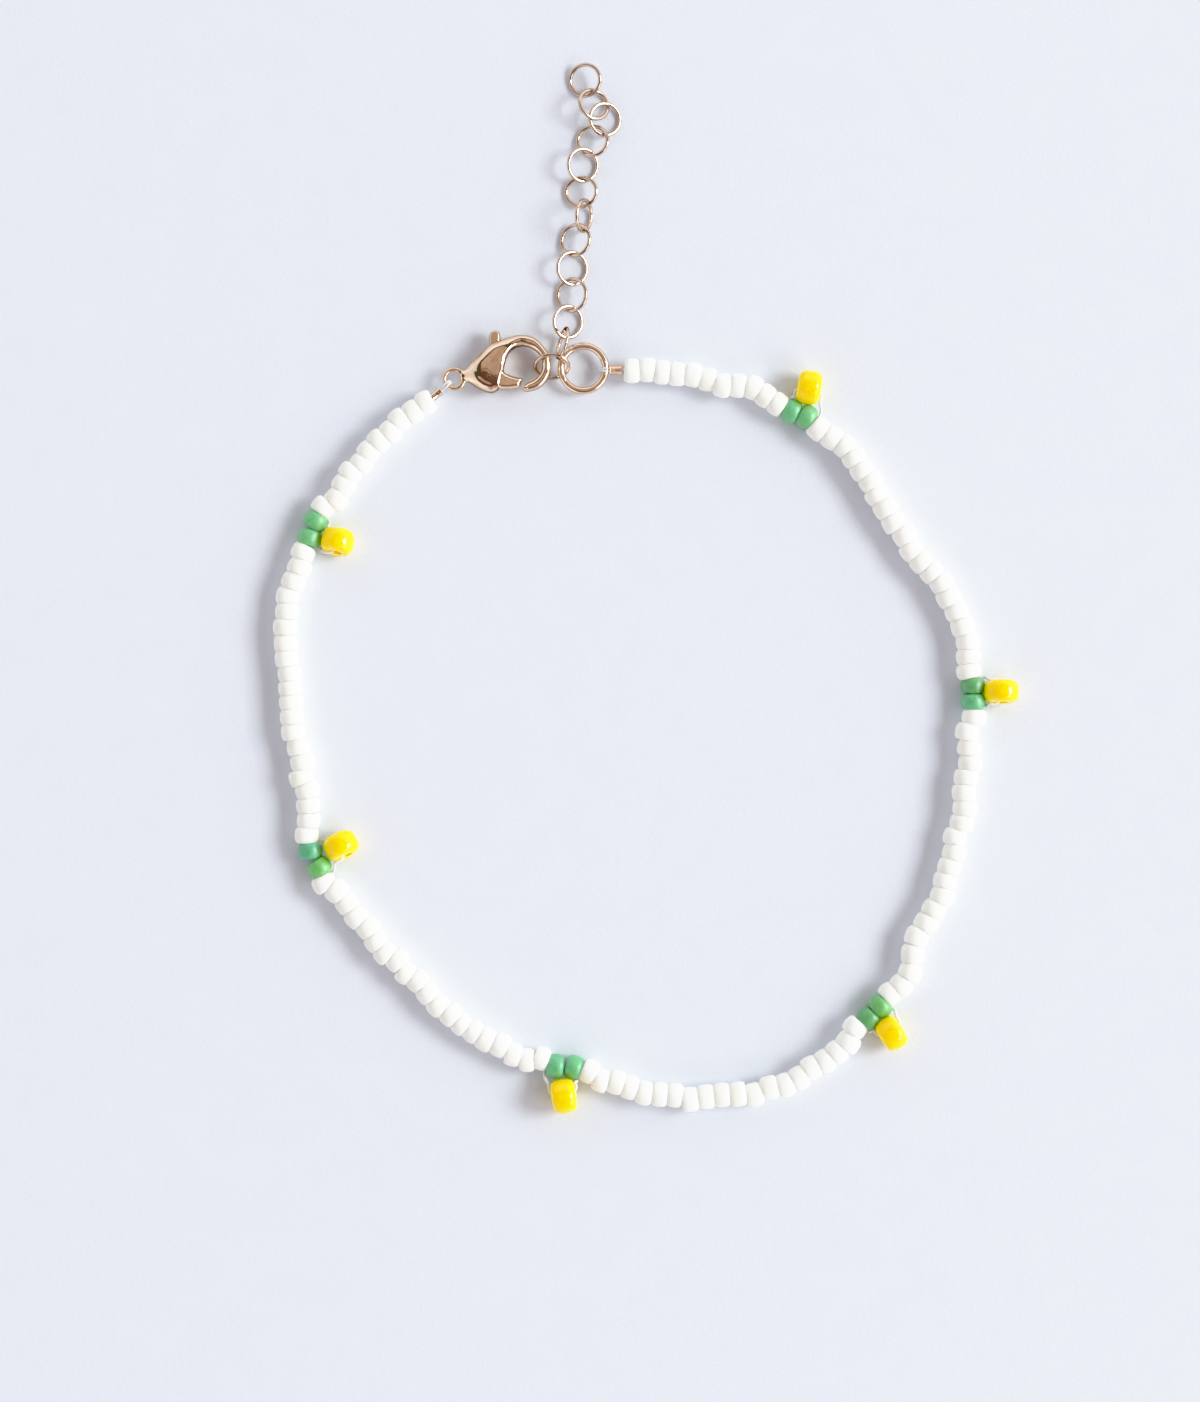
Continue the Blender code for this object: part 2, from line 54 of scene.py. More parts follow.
# The strand: centre of a bead of each run, counted from the clasp.
STRAND = (  # run, bead, x, y
    (1, 1, -19.90, 16.76), (1, 3, -22.22, 15.19), (1, 6, -25.04, 12.35),
    (1, 9, -27.30, 9.38), (1, 11, -29.11, 7.38),
    (2, 1, -30.91, 3.31), (2, 4, -32.37, -0.57), (2, 7, -32.47, -4.89),
    (2, 10, -32.11, -8.91), (2, 13, -31.81, -12.86), (2, 16, -31.21, -17.01),
    (2, 18, -30.50, -19.51), (2, 20, -30.58, -22.13),
    (3, 1, -29.15, -26.53), (3, 4, -26.15, -29.52), (3, 7, -23.55, -32.74),
    (3, 10, -20.59, -35.26), (3, 13, -17.58, -38.26), (3, 16, -14.59, -40.68),
    (3, 18, -11.97, -41.87), (3, 20, -9.51, -42.22),
    (4, 1, -5.14, -43.29), (4, 4, -1.52, -44.84), (4, 7, 2.53, -45.54),
    (4, 10, 6.73, -45.47), (4, 13, 10.99, -44.84), (4, 16, 14.81, -43.12),
    (4, 18, 17.10, -41.75), (4, 20, 18.72, -39.42),
    (5, 1, 21.80, -36.40), (5, 2, 22.92, -35.64),
    (5, 3, 23.72, -34.52), (5, 4, 23.93, -32.86), (5, 7, 25.80, -28.78),
    (5, 10, 27.28, -25.00), (5, 13, 28.32, -21.08), (5, 16, 28.68, -16.94),
    (5, 18, 28.92, -14.29), (5, 20, 29.44, -11.45),
    (6, 1, 28.97, -7.40), (6, 4, 28.41, -3.44), (6, 7, 26.51, 0.57),
    (6, 10, 23.82, 3.44), (6, 13, 21.42, 7.31), (6, 16, 19.35, 10.69),
    (6, 18, 17.80, 12.86), (6, 20, 15.37, 14.30),
    (7, 1, 11.70, 16.66), (7, 3, 9.55, 18.08), (7, 6, 5.44, 18.90),
    (7, 9, 1.38, 19.49), (7, 11, -1.34, 19.55),
)

# Motifs: the two green beads with the heading of their holes.
MOTIFS = (
    # key, g1 x, y, heading, g2 x, y, heading
    ("a", -29.82, 6.09, -125.0, -30.38, 4.59, -101.0),
    ("b", -30.27, -23.54, -86.0, -29.45, -25.06, -52.0),
    ("c", -8.23, -42.91, -7.0, -6.60, -43.00, -21.0),
    ("d", 19.94, -38.64, 46.0, 21.01, -37.53, 46.0),
    ("e", 29.36, -10.13, 90.0, 29.34, -8.68, 91.0),
    ("f", 14.37, 15.54, 150.0, 13.02, 16.02, 154.0),
)

# Their yellow beads: the way each stands off the strand, how far its hole
# tips up at the end to the left of that way, radius and half length.
YELLOW = (
    # key, x, y, off, tip, radius, half
    ("a", -27.79, 4.27, -10.0, -15.0, 1.50, 1.06),
    ("b", -27.47, -23.07, 27.0, -14.0, 1.55, 1.05),
    ("c", -7.46, -45.55, -81.0, 2.0, 1.57, 1.08),
    ("d", 22.00, -39.92, -57.0, 5.0, 1.55, 1.06),
    ("e", 31.87, -9.22, 0.0, -9.0, 1.58, 0.99),
    ("f", 14.59, 18.12, 80.0, -2.0, 1.54, 1.06),
)

# White beads that sit off the line: run, bead, millimetres to its left.
OFF_LINE = {
    (1, 4): 0.27, (1, 7): 0.14, (1, 8): -0.20, (1, 10): 0.38,
    (2, 2): 0.25, (2, 3): 0.25, (2, 5): 0.17, (2, 14): 0.37, (2, 15): 0.55,
    (2, 16): 0.10, (2, 17): 0.33,
    (3, 1): 0.15, (3, 2): 0.38, (3, 3): 0.20, (3, 5): 0.24, (3, 8): 0.25,
    (3, 9): -0.17, (3, 11): -0.19, (3, 12): -0.29, (3, 15): 0.17,
    (3, 16): 0.20, (3, 17): 0.35, (3, 19): -0.25,
    (4, 2): -0.35, (4, 5): -0.14, (4, 8): -0.32, (4, 9): -0.14,
    (4, 12): -0.30, (4, 14): -0.30, (4, 15): -0.27, (4, 19): -0.17,
    (5, 8): -0.20, (5, 12): 0.33, (5, 17): -0.34, (5, 19): 0.31,
    (6, 3): -0.20, (6, 6): 0.17, (6, 11): -0.30, (6, 15): -0.17,
    (6, 20): -0.17, (7, 4): 0.18, (7, 5): 0.38, (7, 7): -0.19,
    (7, 10): -0.19,
}

# 0 leaf green, 0.35 deep green, 0.65 mid green, 1 teal.
GREEN_TINT = {
    "a1": 0.62, "a2": 0.66, "b1": 1.0, "b2": 0.05, "c1": 0.86, "c2": 0.80,
    "d1": 0.33, "d2": 0.16, "e1": 0.84, "e2": 0.40, "f1": 0.62, "f2": 0.74,
}


# ----------------------------------------------------------------- helpers
def through(points, t_values, at):
    """Natural cubic spline through points given at t_values."""
    t = np.array(t_values, float)
    p = np.array(points, float)
    n = len(t)
    h = np.diff(t)
    a = np.zeros((n, n))
    b = np.zeros((n, p.shape[1]))
    a[0, 0] = a[-1, -1] = 1.0
    for i in range(1, n - 1):
        a[i, i - 1], a[i, i + 1] = h[i - 1], h[i]
        a[i, i] = 2.0 * (h[i - 1] + h[i])
        b[i] = 6.0 * ((p[i + 1] - p[i]) / h[i] - (p[i] - p[i - 1]) / h[i - 1])
    m = np.linalg.solve(a, b)
    x = np.clip(np.array(at, float), t[0] - 2.0, t[-1] + 2.0)
    i = np.clip(np.searchsorted(t, x) - 1, 0, n - 2)
    u, v, k = (t[i + 1] - x)[:, None], (x - t[i])[:, None], h[i][:, None]
    return (m[i] * u ** 3 / (6 * k) + m[i + 1] * v ** 3 / (6 * k)
            + (p[i] / k - m[i] * k / 6) * u
            + (p[i + 1] / k - m[i + 1] * k / 6) * v)


def lengths_of(points):
    p = np.array(points, float)
    return np.concatenate([[0.0], np.cumsum(
        np.linalg.norm(np.diff(p, axis=0), axis=1))])


def smooth_path(points, step):
    s = lengths_of(points)
    n = max(4, int(round(s[-1] / step)))
    return through(points, s, np.linspace(0.0, s[-1], n + 1))


def new_object(name, verts, faces, mat, tint=None, angle=None):
    mesh = bpy.data.meshes.new(name)
    mesh.from_pydata([tuple(v) for v in np.asarray(verts) * MM], [],
                     [tuple(int(i) for i in f) for f in faces])
    mesh.validate()
    bm = bmesh.new()
    bm.from_mesh(mesh)
    bmesh.ops.recalc_face_normals(bm, faces=bm.faces)
    bm.to_mesh(mesh)
    bm.free()
    mesh.shade_smooth()
    if angle:
        mesh.set_sharp_from_angle(angle=math.radians(angle))
    if tint is not None:
        att = mesh.attributes.new("tint", "FLOAT", "POINT")
        att.data.foreach_set("value", np.asarray(tint, np.float32))
    mesh.materials.append(mat)
    obj = bpy.data.objects.new(name, mesh)
    bpy.context.scene.collection.objects.link(obj)
    return obj


def axes_from(direction, up=(0.0, 0.0, 1.0)):
    """Columns: across, up-ish and along the direction."""
    d = np.array(direction, float)
    d /= np.linalg.norm(d)
    side = np.cross(np.array(up, float), d)
    if np.linalg.norm(side) < 1e-6:
        side = np.array([1.0, 0.0, 0.0])
    side /= np.linalg.norm(side)
    top = np.cross(d, side)
    return np.stack([side, top, d], axis=1)


def grid_faces(rows, cols, close_rows, close_cols, offset=0):
    faces = []
    for i in range(rows if close_rows else rows - 1):
        for j in range(cols if close_cols else cols - 1):
            a, b = i * cols + j, i * cols + (j + 1) % cols
            c = ((i + 1) % rows) * cols + (j + 1) % cols
            d = ((i + 1) % rows) * cols + j
            faces.append((a + offset, b + offset, c + offset, d + offset))
    return faces


def tube(points, radius, sides=12, closed=False, squash=None, ends=True):
    """Vertices and faces of a round tube along points."""
    p = np.array(points, float)
    n = len(p)
    if closed:
        tan = np.roll(p, -1, 0) - np.roll(p, 1, 0)
    else:
        tan = np.gradient(p, axis=0)
    tan /= np.linalg.norm(tan, axis=1)[:, None]
    r = np.broadcast_to(np.asarray(radius, float), (n,))
    start = np.array([0.0, 0.0, 1.0])
    if abs(tan[0] @ start) > 0.9:
        start = np.array([1.0, 0.0, 0.0])
    ref = start - tan[0] * (tan[0] @ start)
    ref /= np.linalg.norm(ref)
    frames = []
    for i in range(n):
        ref = ref - tan[i] * (tan[i] @ ref)
        ref /= np.linalg.norm(ref)
        frames.append((ref.copy(), np.cross(tan[i], ref)))
    twist = 0.0
    if closed:
        last = ref - tan[0] * (tan[0] @ ref)
        last /= np.linalg.norm(last)
        a, b = frames[0]
        twist = math.atan2(last @ b, last @ a)
    verts = []
    sx, sy = squash if squash else (1.0, 1.0)
    for i in range(n):
        a, b = frames[i]
        turn = -twist * i / n
        for k in range(sides):
            t = math.tau * k / sides + turn
            verts.append(p[i] + (a * math.cos(t) * sx + b * math.sin(t) * sy) * r[i])
    faces = grid_faces(n, sides, closed, True)
    if not closed and ends:
        for end, way in ((0, -1.0), (n - 1, 1.0)):
            base = end * sides
            rim, here = base, len(verts)
            for j, (k, out) in enumerate(((0.86, 0.50), (0.5, 0.86))):
                a = len(verts)
                for s in range(sides):
                    c = p[end] + (np.array(verts[base + s]) - p[end]) * k
                    verts.append(c + tan[end] * way * r[end] * out)
                for s in range(sides):
                    faces.append((rim + s, rim + (s + 1) % sides,
                                  a + (s + 1) % sides, a + s))
                rim = a
            verts.append(p[end] + tan[end] * way * r[end])
            for s in range(sides):
                faces.append((rim + s, rim + (s + 1) % sides, len(verts) - 1))
    return np.array(verts), faces


def bead(rng, centre, heading, pitch, radius, low, high, hole, square=2.5,
         around=32, outer=19, inner=7, mouth=0.12, wobble=0.012, skew=0.030,
         flat=1.0):
    """One pressed glass bead: a barrel with its hole along `heading`
    (degrees in plan) tipped by `pitch`; low and high are its half lengths,
    `mouth` how far its ends round over into the hole, `flat` over 1 how far
    the rounding would run past its flat ends."""
    a0, b0, c0 = rng.uniform(0, math.tau, 3)
    lean = rng.normal(0, skew, 2)
    ph = np.concatenate([
        np.linspace(-math.pi / 2, math.pi / 2, outer),
        np.linspace(math.pi / 2, 1.5 * math.pi, inner + 2)[1:-1]])
    cp, sp = np.cos(ph), np.sin(ph)
    n = np.where(cp >= -1e-9, 2.0 / square, 2.0 / 4.0)
    cx = np.sign(cp) * np.abs(cp) ** n
    cz = np.sign(sp) * np.abs(sp) ** n
    ring = len(ph)
    verts = np.zeros((around, ring, 3))
    for i, t in enumerate(np.linspace(0, math.tau, around, endpoint=False)):
        out = 1 + wobble * math.sin(t + a0) + 0.7 * wobble * math.sin(2 * t + b0) \
            + 0.4 * wobble * math.sin(3 * t + c0)
        ro = radius * out
        crown = hole + mouth
        rr = np.where(cx >= 0, crown + (ro - crown) * cx, crown + mouth * cx)
        zz = np.where(cz >= 0, high, low) * np.clip(flat * cz, -1, 1) \
            + 0.5 * rr * (lean[0] * math.cos(t) + lean[1] * math.sin(t)) * cz
        verts[i] = np.stack([rr * math.cos(t), rr * math.sin(t), zz], axis=1)
    h, q = math.radians(heading), math.radians(pitch)
    d = (math.cos(h) * math.cos(q), math.sin(h) * math.cos(q), math.sin(q))
    m = axes_from(d)
    return (verts.reshape(-1, 3) @ m.T + np.array(centre),
            grid_faces(around, ring, True, True))


class Joined:
    """Several shapes gathered into one mesh."""

    def __init__(self):
        self.v, self.f, self.t, self.n = [], [], [], 0

    def add(self, shape, tint=0.0):
        v, f = shape
        self.v.append(np.array(v))
        self.f += [tuple(i + self.n for i in face) for face in f]
        self.t += [tint] * len(v)
        self.n += len(v)

    def make(self, name, mat, angle=None):
        return new_object(name, np.concatenate(self.v), self.f, mat,
                          self.t, angle)


def settle(piece, body, slot, *nodes):
    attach(piece, body)
    if nodes:
        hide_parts(*nodes)
    return piece


# --------------------------------------------------------------- materials
def shader(name):
    mat = bpy.data.materials.new(name)
    mat.use_nodes = True
    tree = mat.node_tree
    return mat, tree, tree.nodes["Principled BSDF"]


def node(tree, kind, **values):
    n = tree.nodes.new(kind)
    for key, value in values.items():
        if key in n.inputs:
            n.inputs[key].default_value = value
        else:
            setattr(n, key, value)
    return n


def place_of(tree):
    return node(tree, "ShaderNodeTexCoord").outputs["Object"]


def noise(tree, scale, detail=3.0, rough=0.5):
    n = node(tree, "ShaderNodeTexNoise")
    n.inputs["Scale"].default_value = scale
    n.inputs["Detail"].default_value = detail
    n.inputs["Roughness"].default_value = rough
    tree.links.new(place_of(tree), n.inputs["Vector"])
    return n.outputs["Fac"]


def ramp(tree, source, stops):
    n = node(tree, "ShaderNodeValToRGB")
    els = n.color_ramp.elements
    while len(els) < len(stops):
        els.new(0.5)
    for el, (pos, colour) in zip(els, stops):
        el.position = pos
        el.color = (*colour, 1.0)
    tree.links.new(source, n.inputs["Fac"])
    return n.outputs["Color"]


def mix(tree, fac, a, b, blend="MIX"):
    n = node(tree, "ShaderNodeMix")
    n.data_type = "RGBA"
    n.blend_type = blend
    for socket, value in ((n.inputs[0], fac), (n.inputs[6], a), (n.inputs[7], b)):
        if hasattr(value, "node"):
            tree.links.new(value, socket)
        elif isinstance(value, (int, float)):
            socket.default_value = value
        else:
            socket.default_value = (*value, 1.0)
    return n.outputs[2]


def span(tree, source, low, high, from_low=0.0, from_high=1.0):
    n = node(tree, "ShaderNodeMapRange")
    n.inputs["From Min"].default_value = from_low
    n.inputs["From Max"].default_value = from_high
    n.inputs["To Min"].default_value = low
    n.inputs["To Max"].default_value = high
    tree.links.new(source, n.inputs["Value"])
    return n.outputs["Result"]


def bump(tree, bsdf, source, distance, strength=1.0, after=None):
    n = node(tree, "ShaderNodeBump")
    n.inputs["Strength"].default_value = strength
    n.inputs["Distance"].default_value = distance
    tree.links.new(source, n.inputs["Height"])
    if after:
        tree.links.new(after, n.inputs["Normal"])
    tree.links.new(n.outputs["Normal"], bsdf.inputs["Normal"])
    return n.outputs["Normal"]


def attribute(tree, name="tint"):
    n = node(tree, "ShaderNodeAttribute")
    n.attribute_name = name
    return n.outputs["Fac"]


def white_glass():
    mat, tree, bsdf = shader("matte_cream_glass")
    base = ramp(tree, attribute(tree), (
        (0.0, (0.870, 0.890, 0.825)), (0.45, (0.885, 0.905, 0.860)),
        (1.0, (0.910, 0.925, 0.890))))
    cloud = ramp(tree, noise(tree, 900.0, 3.0), (
        (0.30, (0.97, 0.97, 0.955)), (0.70, (1.0, 1.0, 1.0))))
    colour = mix(tree, 0.7, base, cloud, "MULTIPLY")
    tree.links.new(colour, bsdf.inputs["Base Color"])
    tree.links.new(span(tree, noise(tree, 2500.0, 2.0), 0.50, 0.66),
                   bsdf.inputs["Roughness"])
    bsdf.inputs["Subsurface Weight"].default_value = 1.0
    bsdf.inputs["Subsurface Radius"].default_value = (1.0, 0.95, 0.85)
    bsdf.inputs["Subsurface Scale"].default_value = 0.00035
    # painted glow: a faint cream emission stands in for light carried through the opal
    # glass, lifting shaded sides and seams
    bsdf.inputs["Emission Color"].default_value = (1.0, 0.985, 0.90, 1.0)
    bsdf.inputs["Emission Strength"].default_value = 0.085
    bsdf.inputs["Specular IOR Level"].default_value = 0.42
    bump(tree, bsdf, noise(tree, 9000.0, 3.0, 0.6), 0.000012, 0.55)
    return mat


def green_glass():
    mat, tree, bsdf = shader("iris_green_glass")
    tint = attribute(tree)
    leaf = ramp(tree, tint, (
        (0.0, (0.190, 0.575, 0.100)), (0.35, (0.112, 0.365, 0.106)),
        (0.65, (0.180, 0.560, 0.208)), (1.0, (0.098, 0.468, 0.252))))
    patch = ramp(tree, noise(tree, 650.0, 3.0, 0.6), (
        (0.36, (0.19, 0.55, 0.12)), (0.52, (0.17, 0.52, 0.18)),
        (0.66, (0.13, 0.46, 0.28))))
    colour = mix(tree, 0.22, leaf, patch)
    speck = ramp(tree, noise(tree, 3600.0, 2.0), (
        (0.35, (0.86, 0.86, 0.86)), (0.65, (1.06, 1.06, 1.06))))
    colour = mix(tree, 0.6, colour, speck, "MULTIPLY")
    tree.links.new(colour, bsdf.inputs["Base Color"])
    tree.links.new(span(tree, noise(tree, 1500.0, 2.0), 0.42, 0.52),
                   bsdf.inputs["Roughness"])
    bsdf.inputs["Specular IOR Level"].default_value = 1.0
    bsdf.inputs["Specular Tint"].default_value = (0.70, 0.82, 1.0, 1.0)
    bsdf.inputs["Coat Weight"].default_value = 0.60
    bsdf.inputs["Coat Roughness"].default_value = 0.44
    bsdf.inputs["Coat IOR"].default_value = 1.8
    bsdf.inputs["Subsurface Weight"].default_value = 0.9
    bsdf.inputs["Subsurface Radius"].default_value = (0.5, 1.0, 0.6)
    bsdf.inputs["Subsurface Scale"].default_value = 0.0011
    bump(tree, bsdf, noise(tree, 7000.0, 3.0, 0.6), 0.000010, 0.45)
    return mat


def yellow_glass():
    mat, tree, bsdf = shader("gloss_yellow_glass")
    colour = ramp(tree, noise(tree, 420.0, 2.0), (
        (0.35, (0.965, 0.635, 0.0)), (0.65, (0.970, 0.645, 0.0))))
    tree.links.new(colour, bsdf.inputs["Base Color"])
    tree.links.new(span(tree, noise(tree, 1200.0, 2.0), 0.16, 0.24),
                   bsdf.inputs["Roughness"])
    bsdf.inputs["Subsurface Weight"].default_value = 1.0
    bsdf.inputs["Subsurface Radius"].default_value = (1.0, 0.85, 0.08)
    bsdf.inputs["Subsurface Scale"].default_value = 0.0007
    # painted glow: a faint yellow emission brightens the bead, which gives off no light
    # of its own
    bsdf.inputs["Emission Color"].default_value = (1.0, 0.95, 0.0, 1.0)
    bsdf.inputs["Emission Strength"].default_value = 0.12
    bsdf.inputs["Specular IOR Level"].default_value = 0.0
    bsdf.inputs["Coat Weight"].default_value = 1.0
    bsdf.inputs["Coat Roughness"].default_value = 0.0
    bsdf.inputs["Coat IOR"].default_value = 1.58
    bump(tree, bsdf, noise(tree, 800.0, 1.0), 0.000010, 0.06)
    return mat


def clear_nylon():
    mat, tree, bsdf = shader("clear_nylon")
    colour = ramp(tree, noise(tree, 2200.0, 2.0), (
        (0.3, (0.92, 0.93, 0.96)), (0.7, (0.99, 0.99, 1.0))))
    tree.links.new(colour, bsdf.inputs["Base Color"])
    tree.links.new(span(tree, noise(tree, 3000.0, 2.0), 0.10, 0.22),
                   bsdf.inputs["Roughness"])
    bsdf.inputs["IOR"].default_value = 1.48
    bsdf.inputs["Transmission Weight"].default_value = 0.14
    bsdf.inputs["Alpha"].default_value = 0.80
    return mat


def rose_gold(name="rose_gold_plate", rough=(0.05, 0.10),
              deep=(0.84, 0.650, 0.470), pale=(0.93, 0.735, 0.550),
              rim=(0.26, 0.19, 0.16)):
    mat, tree, bsdf = shader(name)
    colour = ramp(tree, noise(tree, 500.0, 3.0, 0.6), (
        (0.30, deep), (0.70, pale)))
    tree.links.new(colour, bsdf.inputs["Base Color"])
    tree.links.new(span(tree, noise(tree, 1400.0, 3.0), rough[0], rough[1]),
                   bsdf.inputs["Roughness"])
    bsdf.inputs["Metallic"].default_value = 1.0
    bsdf.inputs["Specular Tint"].default_value = (*rim, 1.0)
    waves = bump(tree, bsdf, noise(tree, 1100.0, 2.0), 0.000035, 0.46)
    bump(tree, bsdf, noise(tree, 4600.0, 2.0), 0.000013, 0.52, waves)
    return mat


MATS = {
    "white": white_glass(), "green": green_glass(), "yellow": yellow_glass(),
    "thread": clear_nylon(), "gold": rose_gold(),
    "chain": rose_gold("rose_gold_chain", (0.08, 0.14), (0.62, 0.467, 0.352),
                       (0.79, 0.617, 0.475), (0.10, 0.06, 0.05)),
    "crimp": rose_gold("rose_gold_crimp", (0.32, 0.42), (0.93, 0.695, 0.450),
                       (0.98, 0.745, 0.505)),
}


# --------------------------------------------------------------- the beads
def bead_table(rng):
    """Every bead on the thread in order."""
    out = []
    for run in range(1, 8):
        rows = [r for r in STRAND if r[0] == run]
        count = rows[-1][1]
        pts = through([r[2:] for r in rows], [r[1] for r in rows],
                      list(range(1, count + 1)))
        for i in range(count):
            out.append(["white", run, i + 1, pts[i, 0], pts[i, 1], None])
        if run <= len(MOTIFS):
            m = MOTIFS[run - 1]
            out.append(["green", m[0], 1, m[1], m[2], m[3]])
            out.append(["green", m[0], 2, m[4], m[5], m[6]])
    return out


RNG = np.random.default_rng(61)
BEADS = bead_table(RNG)
LINE = np.array([(b[3], b[4]) for b in BEADS])
STATION = lengths_of(LINE)


def strand_at(s):
    return through(LINE, STATION, np.atleast_1d(s))


def strand_heading(s):
    a, b = strand_at([s - 0.08, s + 0.08])
    return math.degrees(math.atan2(b[1] - a[1], b[0] - a[0]))


def make_beads():
    n = len(BEADS)
    along = STATION.copy()
    for i, b in enumerate(BEADS):
        if b[0] == "white":
            along[i] += float(np.clip(RNG.normal(0, 0.035), -0.08, 0.08))
    edge = np.zeros(n + 1)
    edge[1:-1] = (along[1:] + along[:-1]) / 2
    edge[0] = along[0] - 0.66
    edge[-1] = along[-1] + 0.64
    for i in range(1, n):
        pair = {BEADS[i - 1][0], BEADS[i][0]}
        if pair == {"white", "green"}:
            # green beads are a little longer than the white ones
            edge[i] += 0.03 if BEADS[i][0] == "white" else -0.03
    runs = {}
    for i, b in enumerate(BEADS):
        # beads of one run press together, so the seams stay shallow
        near = [0 < i + k < n and BEADS[i + k][0] == b[0] == "white"
                for k in (-1, 1)]
        low = min(along[i] - edge[i], 0.81) * (1.045 if near[0] else 0.995)
        high = min(edge[i + 1] - along[i], 0.81) * (1.045 if near[1] else 0.995)
        x, y = strand_at(along[i])[0]
        heading = strand_heading(along[i])
        side = math.radians(heading + 90)
        if b[0] == "white":
            shift = float(np.clip(RNG.normal(0, 0.045), -0.10, 0.10))
            shift = OFF_LINE.get((b[1], b[2]), shift)
            x, y = x + shift * math.cos(side), y + shift * math.sin(side)
            r = WHITE_R * float(np.clip(1 + RNG.normal(0, 0.018), 0.95, 1.03))
            yaw = float(np.clip(RNG.normal(0, 2.6), -5, 5))
            pitch = float(np.clip(RNG.normal(0, 1.6), -3, 3))
            shape = bead(RNG, (x, y, r + 0.01), heading + yaw, pitch, r, low,
                         high, 0.40, square=float(RNG.uniform(2.35, 2.75)),
                         flat=1.13)
            runs.setdefault(b[1], Joined()).add(
                shape, float(np.clip(RNG.normal(0.55, 0.22), 0, 1)))
        else:
            r = GREEN_R * float(np.clip(1 + RNG.normal(0, 0.012), 0.98, 1.02))
            one = Joined()
            one.add(bead(RNG, (b[3], b[4], r + 0.005), b[5],
                         float(RNG.normal(0, 2.0)), r, min(low, 0.76),
                         min(high, 0.76), 0.42, square=2.4, mouth=0.14,
                         flat=1.04),
                    GREEN_TINT[b[1] + str(b[2])])
            name = "green_bead_%s%d" % (b[1], b[2])
            settle(one.make("green_glass_%s%d" % (b[1], b[2]), MATS["green"]),
                   BODY, "green_beads", name)
    for run, joined in runs.items():
        settle(joined.make("white_glass_run_%d" % run, MATS["white"]),
               BODY, "white_beads", "white_beads_%d" % run)
    for key, x, y, off, tip, radius, half in YELLOW:
        one = Joined()
        one.add(bead(RNG, (x, y, radius + 0.01), off + 90.0, tip, radius, half,
                     half, 0.52, square=2.7, around=64, outer=33, inner=11,
                     mouth=0.13, wobble=0.008, skew=0.012, flat=1.03))
        settle(one.make("yellow_glass_" + key, MATS["yellow"]),
               BODY, "yellow_beads", "yellow_bead_" + key)


def make_thread():
    # the strand's own thread, crimp to crimp
    whole = np.vstack([[(-18.95, 17.54)], strand_at(np.linspace(
        -0.6, STATION[-1] + 0.6, 420)), [(-2.60, 19.70)]])
    pts = np.column_stack([whole, np.full(len(whole), 1.10)])
    joined = Joined()
    joined.add(tube(pts, THREAD_R, 8))
    settle(joined.make("strand_thread", MATS["thread"]), BODY, "clear_thread")
    for key, cx, cy, off, tip, radius, half in YELLOW:
        i = next(k for k, b in enumerate(BEADS)
                 if b[0] == "green" and b[1] == key)
        off, tip = math.radians(off), math.radians(tip)
        d = np.array([math.cos(off), math.sin(off), 0.0])
        centre = np.array([cx, cy, radius + 0.01])
        hole = np.array([-math.sin(off) * math.cos(tip),
                         math.cos(off) * math.cos(tip), math.sin(tip)])
        legs = []
        for s in ((STATION[i - 1] + STATION[i]) / 2,
                  (STATION[i + 1] + STATION[i + 2]) / 2):
            x, y = strand_at(s)[0]
            p = np.array([x, y, 1.12])
            t = math.radians(strand_heading(s))
            out = np.array([-math.sin(t), math.cos(t), 0.0])
            out = out if out @ d > 0 else -out
            side = hole if hole @ (p - centre) > 0 else -hole
            mouth = centre + side * (half - 0.05)
            b = centre + side * (half + 0.12) - d * 1.10
            c = centre + side * (half + 0.15) - d * 0.68
            a = p + out * 1.12 - side * 0.26
            legs.append([
                p + out * 0.40 - side * 0.10, a,
                (a + b) / 2 + side * 0.12,
                b, c, mouth - d * 0.34, centre + side * (half - 0.50)
                - d * 0.10])
        path = smooth_path(legs[0] + [centre] + legs[1][::-1], 0.12)
        joined = Joined()
        joined.add(tube(path, THREAD_R + 0.025, 12))
        settle(joined.make("nylon_loop_" + key, MATS["thread"]),
               BODY, "clear_thread", "thread_loop_" + key)


# ------------------------------------------------------- rings and links
def ring_path(centre, u, v, a, b, count, start=0.0, sweep=360.0, closed=True):
    t = np.radians(np.linspace(start, start + sweep, count, endpoint=not closed))
    return (np.array(centre)[None, :] + np.outer(a * np.cos(t), u)
            + np.outer(b * np.sin(t), v))


def make_rings():
    joined = Joined()
    path = ring_path((-5.72, 19.89, 1.00), (1, 0, 0), (0, 1, 0), 2.01, 2.01,
                     110, 213.4, 357.2, closed=False)
    turn = np.linspace(-1, 1, len(path))
    path[:, 2] += 0.035 * turn
    joined.add(tube(path, 0.312, 24))
    settle(joined.make("jump_ring_wire", MATS["gold"]), BODY, "gold_metal",
           "jump_ring")

    lean = math.radians(47.0)
    joined = Joined()
    joined.add(tube(ring_path((-8.55, 20.05, 1.27), (1, 0, 0),
                              (0, math.cos(lean), math.sin(lean)), 1.50, 1.40,
                              72), 0.155, 14, closed=True))
    settle(joined.make("hooked_link_wire", MATS["chain"]), BODY, "gold_metal",
           "clasped_link")

    way, lean = math.radians(76.0), math.radians(75.0)
    d = np.array([math.cos(way), math.sin(way), 0.0])
    w = np.array([d[1], -d[0], 0.0])
    joined = Joined()
    joined.add(tube(ring_path((-7.57, 22.07, 1.78), d,
                              w * math.cos(lean) + np.array([0, 0, 1.0]) * math.sin(lean),
                              1.38, 1.34, 72), 0.155, 14, closed=True))
    settle(joined.make("hanging_link_wire", MATS["chain"]), BODY, "gold_metal",
           "hanging_link")


